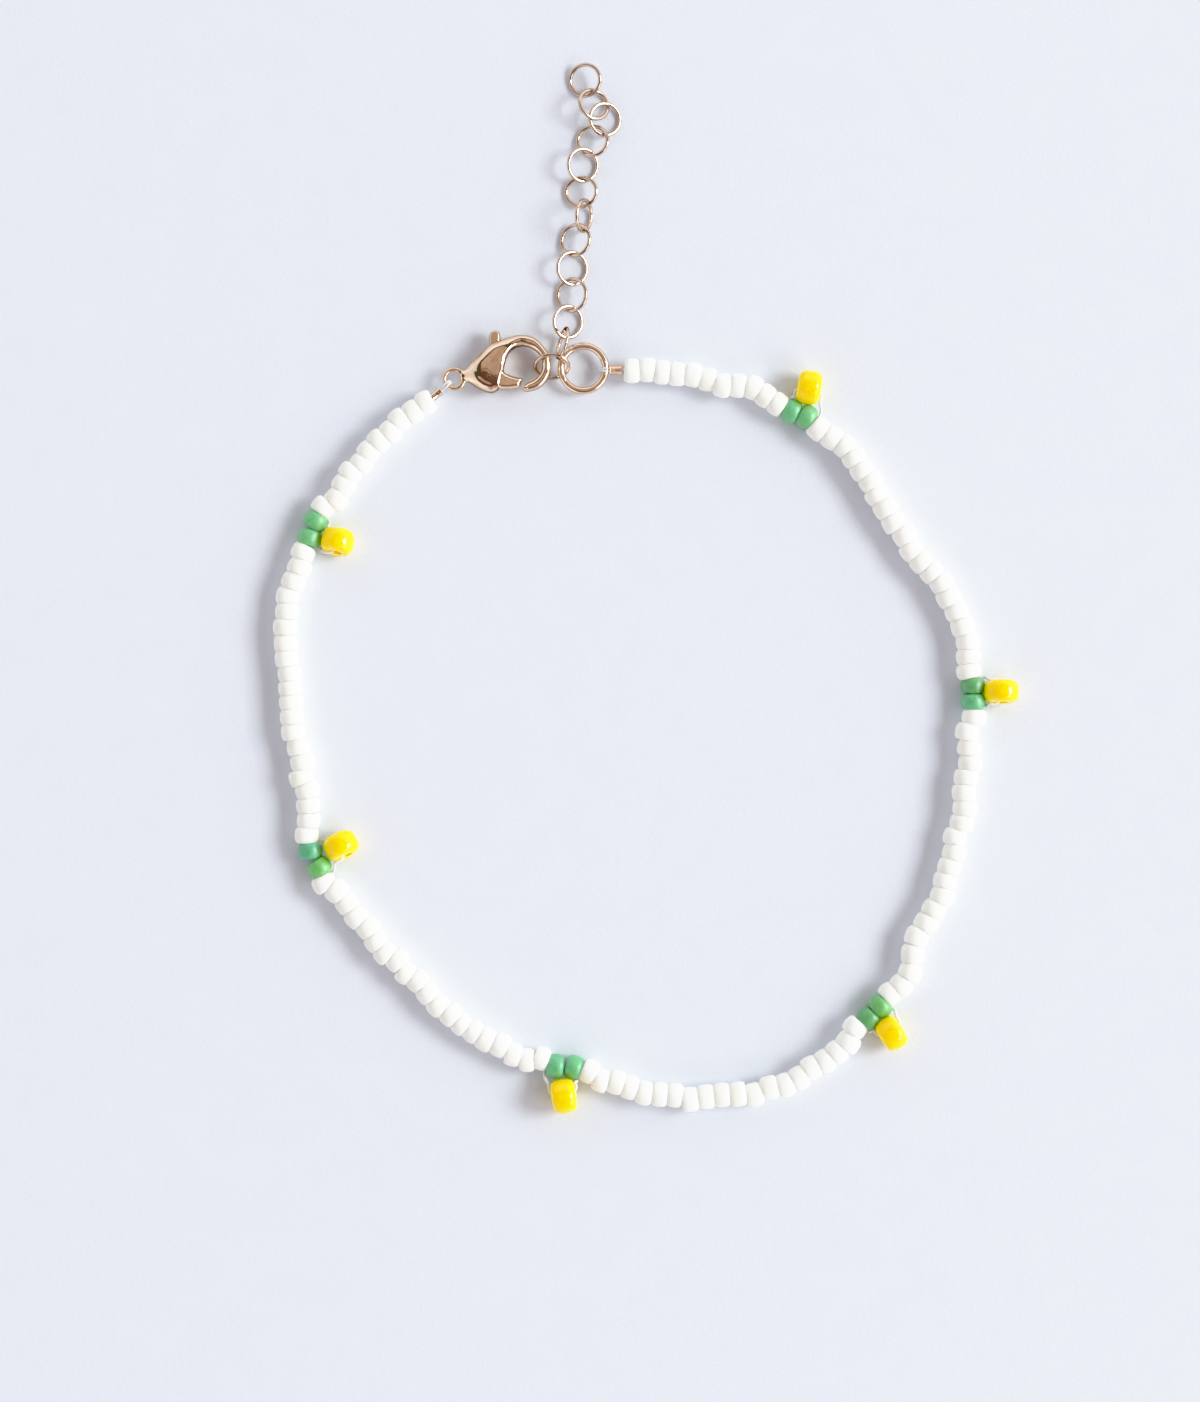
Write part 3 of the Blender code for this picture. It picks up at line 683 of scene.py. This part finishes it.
# The chain's round links from its free end: place, lean (degrees, which
# side is up: + right, - left), and size along and across the chain.
LINKS = (  # x, y, lean, along, across
    (-5.56, 45.88, 22.0, 1.36, 1.40),
    (-4.78, 43.66, -35.0, 1.36, 1.44),
    (-3.77, 42.37, -22.0, 1.40, 1.39),
    (-4.90, 40.40, 24.0, 1.34, 1.44),
    (-5.77, 38.23, -27.0, 1.43, 1.38),
    (-5.92, 35.82, 20.0, 1.28, 1.42),
    (-5.66, 33.59, -63.0, 1.36, 1.34),
    (-6.43, 31.46, 27.0, 1.40, 1.36),
    (-6.72, 28.92, -25.0, 1.43, 1.38),
    (-6.76, 26.52, 27.0, 1.43, 1.38),
    (-7.11, 24.10, -27.0, 1.39, 1.34),
)


def make_chain():
    joined = Joined()
    places = np.array([r[:2] for r in LINKS])
    for k, (x, y, lean, along, across) in enumerate(LINKS):
        a = places[max(k - 1, 0)]
        b = places[min(k + 1, len(LINKS) - 1)]
        d = np.array([*(a - b), 0.0])
        d /= np.linalg.norm(d)
        w = np.array([d[1], -d[0], 0.0])
        lean = math.radians(lean)
        v = w * math.cos(lean) + np.array([0, 0, 1.0]) * math.sin(lean)
        along, across = along + 0.02, across + 0.04
        z = abs(math.sin(lean)) * across + 0.155
        joined.add(tube(ring_path((x, y, max(z, 0.62)), d, v, along, across, 64),
                        0.162, 14, closed=True), (k * 0.37) % 1.0)
    settle(joined.make("chain_links", MATS["chain"]), BODY, "gold_metal",
           "extender_chain")


# ------------------------------------------------------------- the crimps
def make_crimps():
    for name, node_name, centre, heading, z, half, radius in (
            ("crimp_tube_clasp", "crimp_clasp_side", (-18.95, 17.54), 40.0,
             1.11, 0.49, 0.34),
            ("crimp_tube_ring", "crimp_ring_side", (-2.83, 19.73), 0.0,
             1.02, 0.54, 0.36)):
        t = math.radians(heading)
        u = np.array([math.cos(t), math.sin(t), 0.0])
        s = np.linspace(-half, half, 26)
        pts = np.array([[centre[0], centre[1], z]]) + np.outer(s, u)
        # pressed in the middle, as pliers leave it
        r = radius * (1 - 0.10 * np.exp(-(s / 0.16) ** 2)
                      + 0.10 * ease(half - 0.16, half, np.abs(s)))
        outer, faces = tube(pts, r, 24, ends=False, squash=(1.02, 1.06))
        n, sides = len(pts), 24
        inner = []
        for i, p in enumerate(pts):
            for k in range(sides):
                inner.append(p + (outer[i * sides + k] - p) * 0.52)
        verts = np.vstack([outer, inner])
        back = n * sides
        faces = faces + [tuple(back + i for i in f[::-1]) for f in faces]
        for end in (0, (n - 1) * sides):
            for k in range(sides):
                a, b = end + k, end + (k + 1) % sides
                quad = (a, b, b + back, a + back)
                faces.append(quad if end else quad[::-1])
        joined = Joined()
        joined.add((verts, faces))
        if node_name == "crimp_ring_side":
            # its cut end is pressed open into two small lips
            for way in (-1.0, 1.0):
                lip = np.array([
                    (half - 0.14, 0.24 * way, 0.05),
                    (half + 0.02, 0.28 * way, 0.05),
                    (half + 0.13, 0.34 * way, 0.04),
                    (half + 0.22, 0.41 * way, 0.02)])
                at = np.array([centre[0], centre[1], z])
                joined.add(tube(smooth_path(list(at + lip), 0.04),
                                0.075, 12, squash=(1.0, 1.7)))
        # the crimp at the ring is the duller one of the two
        finish = MATS["crimp" if name.endswith("ring") else "gold"]
        settle(joined.make(name, finish, angle=50), BODY, "gold_metal",
               node_name)


def make_eyes():
    """Thread eyes: two strands from each crimp round its ring."""
    for name, node_name, crimp, heading, around, z, reach, half in (
            ("nylon_eye_clasp", "thread_end_clasp", (-18.95, 17.54), 40.0,
             (-18.015, 18.37), 1.25, 0.36, 0.49),
            ("nylon_eye_ring", "thread_end_ring", (-2.83, 19.73), 180.0,
             (-3.71, 19.73), 1.00, 0.42, 0.49)):
        t = math.radians(heading)
        u = np.array([math.cos(t), math.sin(t), 0.0])
        side = np.array([-u[1], u[0], 0.0])
        c = np.array([*around, z])
        p0 = np.array([*crimp, z - 0.05]) + u * (half - 0.2)
        joined = Joined()
        for shift, turn in ((-0.13, 0.05), (0.13, -0.05)):
            path = [p0 + side * shift * 0.3 + (0, 0, 0.06),
                    p0 + u * 0.25 + side * shift * 0.5 + (0, 0, 0.10)]
            for a in np.radians(np.linspace(100.0, -100.0, 9)):
                path.append(c + side * (shift + turn * math.cos(a))
                            + u * reach * math.cos(a) * 1.25
                            + np.array([0, 0, reach * math.sin(a)]))
            path += [p0 + u * 0.25 + side * shift * 0.5 - (0, 0, 0.10),
                     p0 + side * shift * 0.3 - (0, 0, 0.06)]
            joined.add(tube(smooth_path(path, 0.06), 0.105, 12))
        settle(joined.make(name, MATS["thread"]), BODY, "clear_thread",
               node_name)


# -------------------------------------------------------------- the clasp
PIVOT = np.array([-13.49, 20.09, 1.25])

OUTER_EDGE = (  # x, y from the pivot, neck top round the hook to its tip
    (-3.22, -0.50), (-2.98, -0.40), (-2.74, -0.16), (-2.52, 0.16),
    (-2.20, 0.56), (-1.80, 0.99), (-1.34, 1.40), (-0.86, 1.80),
    (-0.38, 2.10), (0.14, 2.30), (0.70, 2.48), (1.30, 2.66), (2.02, 2.80),
    (2.78, 2.76), (3.52, 2.46), (4.12, 1.92), (4.58, 1.30), (4.86, 0.62),
    (4.94, -0.06), (4.82, -0.76), (4.50, -1.40), (3.98, -1.94),
    (3.24, -2.28), (2.66, -2.40),
)

INNER_EDGE = (  # x, y from the tip back along the opening to the gate
    (2.40, -2.28), (2.35, -2.06), (2.50, -1.72), (2.76, -1.48), (3.12, -1.33),
    (3.58, -1.00), (3.92, -0.50), (4.02, 0.08), (3.90, 0.68), (3.54, 1.20),
    (3.02, 1.54), (2.42, 1.70), (1.92, 1.66), (1.52, 1.50), (1.14, 1.16),
    (0.88, 0.66), (0.72, 0.06), (0.58, -0.58), (0.42, -1.22), (0.30, -1.76),
    (0.14, -2.12), (-0.04, -2.32),
)

UNDER_EDGE = (  # x, y along the belly back to the neck
    (-0.30, -2.44), (-0.68, -2.46), (-1.12, -2.34), (-1.56, -2.14),
    (-2.04, -1.84), (-2.44, -1.56), (-2.80, -1.36), (-3.06, -1.28),
    (-3.24, -1.26),
)

LEVER_OUTLINE = (  # x, y
    (-0.66, 1.89), (-0.68, 2.72), (-0.56, 3.04), (-0.20, 3.19), (0.12, 3.08),
    (0.30, 2.76), (0.31, 1.89), (0.36, 0.99), (0.52, 0.45), (0.58, -0.09),
    (0.68, -0.58), (0.99, -0.76), (1.35, -0.89), (1.80, -1.03), (2.22, -1.10),
    (2.36, -1.20), (2.26, -1.42), (2.16, -1.66), (2.10, -1.90), (1.80, -2.02),
    (1.26, -2.11), (0.63, -2.13),
    (0.14, -2.04), (-0.23, -1.53), (-0.50, -0.95), (-0.70, -0.41),
    (-0.74, 0.18), (-0.67, 0.90),
)

SLOT_OUTLINE = (  # x, y
    (-2.79, 0.90), (-2.12, 0.18), (-1.35, 0.18), (-0.92, -0.36),
    (-0.66, -1.35), (-0.36, -1.66), (0.02, -2.12), (0.12, -3.06), (1.71, -3.06),
    (1.71, 0.45), (1.08, 0.54), (0.66, 0.77), (0.50, 1.26), (0.50, 3.96),
    (-2.79, 3.96),
)


def open_spline(points, per):
    """Smooth curve through points, kept between the first and the last."""
    p = np.array(points, float)
    s = lengths_of(p)
    return through(p, s, np.linspace(0, s[-1], (len(p) - 1) * per + 1))


def distance_to(line, x, y):
    """Distance of every grid place to an open line of points."""
    best = np.full(x.shape, 1e9)
    for (ax, ay), (bx, by) in zip(line[:-1], line[1:]):
        dx, dy = bx - ax, by - ay
        t = np.clip(((x - ax) * dx + (y - ay) * dy) / (dx * dx + dy * dy), 0, 1)
        best = np.minimum(best, (x - ax - t * dx) ** 2 + (y - ay - t * dy) ** 2)
    return np.sqrt(best)


def inside_of(line, x, y):
    hit = np.zeros(x.shape, bool)
    for (ax, ay), (bx, by) in zip(line, np.roll(line, -1, 0)):
        cross = (ay > y) != (by > y)
        with np.errstate(divide="ignore", invalid="ignore"):
            at = (bx - ax) * (y - ay) / (by - ay) + ax
        hit ^= cross & (x < at)
    return hit


def ease(a, b, x):
    t = np.clip((x - a) / (b - a), 0, 1)
    return t * t * (3 - 2 * t)


def net_of(field, origin, step):
    """Smooth mesh of the places where the field is zero."""
    inside = field < 0
    n = np.array(field.shape)
    total = np.zeros((*(n - 1), 3))
    count = np.zeros(n - 1)
    index = np.indices(field.shape).transpose(1, 2, 3, 0).astype(float)
    crossings = []
    for axis in range(3):
        lo = [slice(None)] * 3
        hi = [slice(None)] * 3
        lo[axis], hi[axis] = slice(0, -1), slice(1, None)
        f0, f1 = field[tuple(lo)], field[tuple(hi)]
        change = (inside[tuple(lo)] != inside[tuple(hi)])
        t = np.where(change, f0 / np.where(change, f0 - f1, 1.0), 0.0)
        at = index[tuple(lo)].copy()
        at[..., axis] += t
        at *= change[..., None]
        b, c = [k for k in range(3) if k != axis]
        for ob in (0, 1):
            for oc in (0, 1):
                src = [slice(None)] * 3
                src[b] = slice(ob, n[b] - 1 + ob)
                src[c] = slice(oc, n[c] - 1 + oc)
                total += at[tuple(src)]
                count += change[tuple(src)]
        crossings.append((axis, b, c, change, inside[tuple(lo)]))
    active = count > 0
    number = np.full(active.shape, -1)
    number[active] = np.arange(active.sum())
    verts = total[active] / count[active][:, None] * step + np.array(origin)
    faces = []
    for axis, b, c, change, first in crossings:
        where = np.argwhere(change)
        where = where[(where[:, b] > 0) & (where[:, c] > 0)
                      & (where[:, b] < n[b] - 1) & (where[:, c] < n[c] - 1)]
        quad = []
        for ob, oc in ((-1, -1), (0, -1), (0, 0), (-1, 0)):
            cell = where.copy()
            cell[:, b] += ob
            cell[:, c] += oc
            quad.append(number[cell[:, 0], cell[:, 1], cell[:, 2]])
        quad = np.stack(quad, axis=1)
        flip = ~first[where[:, 0], where[:, 1], where[:, 2]]
        if axis == 1:
            flip = ~flip
        quad[flip] = quad[flip][:, ::-1]
        faces.append(quad)
    return verts, np.concatenate(faces)


def clasp_shape(step):
    """Body, hook and end ring of the clasp as one cast shape."""
    outer = open_spline(OUTER_EDGE, 4)
    inner = open_spline(INNER_EDGE, 4)
    under = open_spline(UNDER_EDGE, 4)
    tip = np.array([outer[-1], inner[0]])
    low = np.array([inner[-1], under[0]])
    lip = np.vstack([outer, tip[1:]])
    sole = np.vstack([low[:1], under])
    loop = np.vstack([outer, inner, under])
    xs = np.arange(-5.10, 5.10 + step, step)
    ys = np.arange(-2.65, 3.00 + step, step)
    zs = np.arange(-1.40, 1.40 + step, step)
    x, y = np.meshgrid(xs, ys, indexing="ij")
    sign = np.where(inside_of(loop, x, y), 1.0, -1.0)
    d_outer = np.minimum(distance_to(lip, x, y), distance_to(sole, x, y)) * sign
    d_inner = distance_to(inner, x, y) * sign

    # how far a place lies along the hook: 0 on the belly, 1 at the tip
    away = ease(1.0, 2.2, x) * ease(-0.2, 1.4, y + 0.9 * (x - 0.6)) \
        + ease(2.2, 2.9, x) * ease(0.6, -0.6, y)
    away = np.clip(away, 0, 1)
    along = ease(0.2, 3.4, x) * ease(-0.2, 1.0, y + 0.9 * (x - 0.6)) \
        + ease(2.2, 2.9, x) * ease(0.6, -0.6, y)
    along = np.clip(along, 0, 1)
    tall = 1.25 - 0.61 * along - 0.10 * ease(0.4, -1.8, y) * ease(2.0, 2.6, x)
    # the belly is a shallow dome
    dome = (x - 0.20) ** 2 + (y - 0.70) ** 2
    tall = tall - (0.62 * ease(-1.35, -3.30, x) ** 1.3
                   + 0.045 * np.minimum(dome, 6.0)) * (1 - away)
    round_out = 0.86 - 0.36 * away
    # the opening side: a polished slope on the belly, round on the hook
    band = 0.30 - 0.12 * ease(0.55, 1.35, x)
    slope = tall - np.maximum(0.0, band - d_inner) * 0.50
    curl = np.clip(1 - d_inner / (0.52 - 0.0 * away), 0, 1)
    curl = tall * np.sqrt(np.clip(1 - curl ** 2.2, 0, None))
    cap_in = slope * (1 - away) + curl * away

    # the upper shell stands back where the lever comes out
    back = 0.16 * np.exp(-((x + 1.75) ** 2 + (y - 1.00) ** 2) / 0.75 ** 2)
    fields = []
    for shift, power in ((back, 2.15), (-0.02, 2.6)):
        u = np.clip(1 - (d_outer - shift) / round_out, 0, 1)
        cap_out = tall * np.clip(1 - u ** power, 0, None) ** (1 / power)
        h = np.minimum(cap_out, cap_in)
        edge = np.minimum(d_outer - shift, d_inner)
        fields.append((h, edge))
    z = zs[None, None, :]
    parts = []
    for (h, edge), way in zip(fields, (1.0, -1.0)):
        f = way * z - h[:, :, None]
        parts.append(np.maximum(f, -edge[:, :, None] - 0.0))
    body = np.where(z >= 0, parts[0], parts[1])
    body = np.maximum(body, -np.minimum(d_outer, d_inner)[:, :, None])

    # end ring, blended into the neck
    rx, ry = x + 3.87, y + 1.17
    ring_r = np.hypot(rx, ry)
    wire = 0.215 + 0.06 * ease(0.2, 0.95, rx)
    ring = np.sqrt((ring_r - 0.855)[:, :, None] ** 2 + z ** 2) - wire[:, :, None]
    # the neck is a flattened bar between ring and belly
    nx = np.clip((x + 3.22) / 0.60, -0.35, 1)
    neck = np.sqrt(((y + 0.89 + 0.0 * x)[:, :, None] / 1.30) ** 2 + z ** 2) \
        - (0.27 + 0.16 * ease(0.0, 1.0, nx))[:, :, None]
    neck = np.maximum(neck, np.abs(x + 3.05)[:, :, None] - 0.36)
    k = 0.16
    both = np.clip(0.5 + 0.5 * (neck - ring) / k, 0, 1)
    ring = neck * (1 - both) + ring * both - k * both * (1 - both)
    both = np.clip(0.5 + 0.5 * (ring - body) / k, 0, 1)
    field = ring * (1 - both) + body * both - k * both * (1 - both)
    # the ring's hole stays round
    bore = np.where(rx < 0.64, 0.615 - ring_r, -1.0)[:, :, None] - 0.0 * z
    field = np.maximum(field, bore)
    for axis in range(3):
        field = (np.roll(field, 1, axis) + 2 * field + np.roll(field, -1, axis)) / 4
    verts, faces = net_of(field, (xs[0], ys[0], zs[0]), step)
    return verts + PIVOT, faces


def lever_shape(step):
    """The lever: a cast plate with rounded faces and its pin hole."""
    loop = np.array(closed_spline(LEVER_OUTLINE, 5))
    xs = np.arange(-0.95, 2.42 + step, step)
    ys = np.arange(-2.32, 3.36 + step, step)
    zs = np.arange(-0.62, 0.62 + step, step)
    x, y = np.meshgrid(xs, ys, indexing="ij")
    d = distance_to(np.vstack([loop, loop[:1]]), x, y)
    d = np.where(inside_of(loop, x, y), d, -d)
    reach = 0.20 + 0.22 * ease(-0.4, -1.0, y)
    u = np.clip(1 - d / reach, 0, 1)
    face = 0.50 - 0.03 * ease(1.9, 3.1, y) - 0.06 * ease(0.6, 2.2, x)
    h = face * np.sqrt(np.clip(1 - u ** 2.2, 0, None)) \
        - 0.05 * np.clip(0.30 - d, 0, 0.30) / 0.30 * ease(2.2, 1.6, y)
    field = np.abs(zs)[None, None, :] - h[:, :, None]
    field = np.maximum(field, -d[:, :, None])
    field = np.maximum(field, (0.35 - np.hypot(x, y))[:, :, None])
    verts, faces = net_of(field, (xs[0], ys[0], zs[0]), step)
    return verts + PIVOT, faces


def flat_shape(outline, thickness, name, rounded=0.0, hole=0.0):
    """A mesh object of an outline, its rim rounded by a bevel."""
    cu = bpy.data.curves.new(name, "CURVE")
    cu.dimensions = "2D"
    cu.fill_mode = "BOTH"
    cu.extrude = thickness * MM / 2
    loops = [outline]
    if hole:
        loops.append([(hole * math.cos(a), hole * math.sin(a))
                      for a in np.linspace(0, math.tau, 24, endpoint=False)])
    for loop in loops:
        sp = cu.splines.new("POLY")
        sp.points.add(len(loop) - 1)
        for pt, (x, y) in zip(sp.points, loop):
            pt.co = (x * MM, y * MM, 0.0, 1.0)
        sp.use_cyclic_u = True
    obj = bpy.data.objects.new(name, cu)
    bpy.context.scene.collection.objects.link(obj)
    bpy.context.view_layer.update()
    deps = bpy.context.evaluated_depsgraph_get()
    mesh = bpy.data.meshes.new_from_object(obj.evaluated_get(deps))
    bpy.data.objects.remove(obj, do_unlink=True)
    bm = bmesh.new()
    bm.from_mesh(mesh)
    bmesh.ops.remove_doubles(bm, verts=bm.verts, dist=1e-7)
    bmesh.ops.translate(bm, verts=bm.verts, vec=Vector(PIVOT * MM))
    bm.to_mesh(mesh)
    bm.free()
    new = bpy.data.objects.new(name, mesh)
    bpy.context.scene.collection.objects.link(new)
    if rounded:
        bev = new.modifiers.new("Bevel", "BEVEL")
        bev.width = rounded * MM
        bev.segments = 4
        bev.limit_method = "ANGLE"
        bev.angle_limit = math.radians(60.0)
        apply_all(new)
    return new


def apply_all(obj):
    bpy.context.view_layer.update()
    deps = bpy.context.evaluated_depsgraph_get()
    mesh = bpy.data.meshes.new_from_object(obj.evaluated_get(deps))
    obj.modifiers.clear()
    obj.data = mesh


def closed_spline(points, per):
    """Closed smooth curve through points (Catmull-Rom)."""
    p = np.array(points, float)
    n = len(p)
    out = []
    for i in range(n):
        a, b, c, d = p[i - 1], p[i], p[(i + 1) % n], p[(i + 2) % n]
        for k in range(per):
            t = k / per
            out.append(0.5 * (2 * b + (c - a) * t
                              + (2 * a - 5 * b + 4 * c - d) * t ** 2
                              + (3 * b - a - 3 * c + d) * t ** 3))
    return [tuple(q) for q in out]


def make_clasp():
    parts = Joined()
    parts.add(clasp_shape(0.05))
    body = parts.make("clasp_body_cast", MATS["gold"])
    sm = body.modifiers.new("Smooth", "SMOOTH")
    sm.factor = 0.5
    sm.iterations = 4
    apply_all(body)
    slot = flat_shape(SLOT_OUTLINE, 1.24, "slot_form", rounded=0.0)
    cut = body.modifiers.new("Slot", "BOOLEAN")
    cut.operation = "DIFFERENCE"
    cut.solver = "EXACT"
    cut.object = slot
    apply_all(body)
    bpy.data.objects.remove(slot, do_unlink=True)
    body.data.materials.clear()
    body.data.materials.append(MATS["gold"])
    body.data.shade_smooth()
    body.data.set_sharp_from_angle(angle=math.radians(48))
    settle(body, BODY, "gold_metal", "clasp_body")

    pin = Joined()
    z = np.linspace(-0.72, 0.72, 10)
    pin.add(tube(np.column_stack([np.zeros(10), np.zeros(10), z]) + PIVOT,
                 0.22, 20))
    settle(pin.make("clasp_pin", MATS["gold"]), BODY, "gold_metal")

    parts = Joined()
    parts.add(lever_shape(0.042))
    lever = parts.make("clasp_lever_cast", MATS["gold"])
    sm = lever.modifiers.new("Smooth", "SMOOTH")
    sm.factor = 0.5
    sm.iterations = 3
    apply_all(lever)
    settle(lever, LEVER, "gold_metal", "clasp_lever")


# -------------------------------------------------- floor, light and camera
def paper():
    mat, tree, bsdf = shader("pale_paper")
    colour = ramp(tree, noise(tree, 260.0, 5.0, 0.6), (
        (0.30, (0.758, 0.806, 0.892)), (0.70, (0.772, 0.820, 0.904))))
    tree.links.new(colour, bsdf.inputs["Base Color"])
    bsdf.inputs["Roughness"].default_value = 0.9
    bsdf.inputs["Specular IOR Level"].default_value = 0.1
    bump(tree, bsdf, noise(tree, 2600.0, 4.0, 0.6), 0.00006, 0.35)
    return mat


def make_stage():
    mesh = bpy.data.meshes.new("paper")
    n, half = 24, 0.60
    line = np.linspace(-half, half, n + 1)
    verts = [(x, y, 0.0) for x in line for y in line]
    faces = [(i * (n + 1) + j, (i + 1) * (n + 1) + j,
              (i + 1) * (n + 1) + j + 1, i * (n + 1) + j + 1)
             for i in range(n) for j in range(n)]
    mesh.from_pydata(verts, [], faces)
    mesh.materials.append(paper())
    floor = bpy.data.objects.new("paper", mesh)
    floor.location = (0.0, 0.0, -0.00001)
    bpy.context.scene.collection.objects.link(floor)


def area(name, place, target, width, height, power, colour):
    data = bpy.data.lights.new(name, "AREA")
    data.shape = "RECTANGLE"
    data.size, data.size_y = width, height
    data.energy = power
    data.color = colour
    obj = bpy.data.objects.new(name, data)
    obj.location = place
    way = Vector(target) - Vector(place)
    obj.rotation_euler = way.to_track_quat("-Z", "Y").to_euler()
    bpy.context.scene.collection.objects.link(obj)


def blob(tree, view, way, inner, outer, wander=None):
    """1 within `inner` degrees of a direction, 0 beyond `outer`."""
    dot = node(tree, "ShaderNodeVectorMath", operation="DOT_PRODUCT")
    tree.links.new(view, dot.inputs[0])
    dot.inputs[1].default_value = Vector(way).normalized()
    value = dot.outputs["Value"]
    if wander is not None:
        add = node(tree, "ShaderNodeMath", operation="ADD")
        tree.links.new(value, add.inputs[0])
        tree.links.new(wander, add.inputs[1])
        value = add.outputs[0]
    n = node(tree, "ShaderNodeMapRange")
    n.interpolation_type = "SMOOTHSTEP"
    n.inputs["From Min"].default_value = math.cos(math.radians(outer))
    n.inputs["From Max"].default_value = math.cos(math.radians(inner))
    n.inputs["To Min"].default_value = 0.0
    n.inputs["To Max"].default_value = 1.0
    tree.links.new(value, n.inputs["Value"])
    return n.outputs["Result"]


def make_light():
    world = bpy.data.worlds.new("soft_room")
    bpy.context.scene.world = world
    world.use_nodes = True
    tree = world.node_tree
    back = tree.nodes["Background"]
    coord = tree.nodes.new("ShaderNodeTexCoord")
    view = coord.outputs["Generated"]
    rough = node(tree, "ShaderNodeTexNoise")
    rough.inputs["Scale"].default_value = 9.0
    rough.inputs["Detail"].default_value = 4.0
    tree.links.new(view, rough.inputs["Vector"])
    wander = span(tree, rough.outputs["Fac"], -0.035, 0.035, 0.3, 0.7)
    wall = mix(tree, blob(tree, view, (-1.0, 0.1, 0.85), 18, 46, wander),
               (1.25, 1.20, 1.27), (0.93, 0.90, 0.93))
    wall = mix(tree, blob(tree, view, (0.15, -1.0, 0.55), 10, 36, wander),
               wall, (0.55, 0.42, 0.43))
    wall = mix(tree, blob(tree, view, (1.0, 0.05, 0.12), 16, 44, wander),
               wall, (1.75, 1.72, 1.76))
    dark = mix(tree, blob(tree, view, (0.1, -1.0, 1.0), 30, 60),
               (0.115, 0.12, 0.105), (0.17, 0.12, 0.12))
    wall = mix(tree, blob(tree, view, (0.0, 0.0, 1.0), 43, 50, wander),
               wall, dark)
    brown = mix(tree, span(tree, rough.outputs["Fac"], 0.0, 1.0, 0.38, 0.62),
                (0.46, 0.345, 0.29), (0.68, 0.55, 0.49))
    shade = mix(tree, span(tree, rough.outputs["Fac"], 0.0, 1.0, 0.44, 0.56),
                (0.14, 0.13, 0.17), (0.39, 0.31, 0.32))
    brown = mix(tree, blob(tree, view, (-0.24, -0.42, 1.0), 6, 17, wander),
                brown, shade)
    room = mix(tree, blob(tree, view, (0.05, 0.16, 1.0), 21, 25, wander),
               wall, brown)
    tree.links.new(room, back.inputs["Color"])
    back.inputs["Strength"].default_value = 0.92
    area("window", (1.864, 0.242, 1.412), (0.0, -0.005, 0.0), 1.04, 0.78, 37.5,
         (0.95, 1.0, 0.985))
    area("side", (1.555, -1.214, 1.282), (0.0, -0.005, 0.0), 1.04, 0.98, 7.5,
         (1.0, 1.0, 1.0))
    bpy.context.scene.view_settings.view_transform = "Standard"
    bpy.context.scene.view_settings.look = "None"
    view = bpy.context.scene.view_settings
    view.exposure = 0.0
    view.gamma = 1.0
    # the picture's response: a short toe and a soft shoulder
    view.use_curve_mapping = True
    curves = view.curve_mapping
    curves.black_level = (0.0, 0.0, 0.0)
    curves.white_level = (2.0, 2.0, 2.0)
    tone = curves.curves[3]
    wanted = ((0.0, 0.0), (0.02, 0.010), (0.05, 0.080), (0.10, 0.190),
              (0.20, 0.400), (0.32, 0.640), (0.42, 0.840), (0.465, 0.910),
              (0.53, 0.955), (0.65, 0.982), (1.0, 1.0))
    while len(tone.points) < len(wanted):
        tone.points.new(0.5, 0.5)
    for point, place in zip(tone.points, wanted):
        point.location = place
        point.handle_type = "AUTO"
    curves.update()


def make_camera():
    cam = bpy.data.cameras.new("overhead")
    cam.lens = 85.0
    cam.sensor_width = 36.0
    cam.clip_start = 0.01
    cam.clip_end = 10.0
    obj = bpy.data.objects.new("overhead", cam)
    field = 0.12618
    height = field * cam.lens / cam.sensor_width + 0.0011
    obj.location = (-0.0042165, -0.0100575, height)
    obj.rotation_euler = (0.0, 0.0, 0.0)
    bpy.context.scene.collection.objects.link(obj)
    bpy.context.scene.camera = obj


make_camera()
make_stage()
make_light()
make_beads()
make_thread()
make_rings()
make_chain()
make_crimps()
make_eyes()
make_clasp()
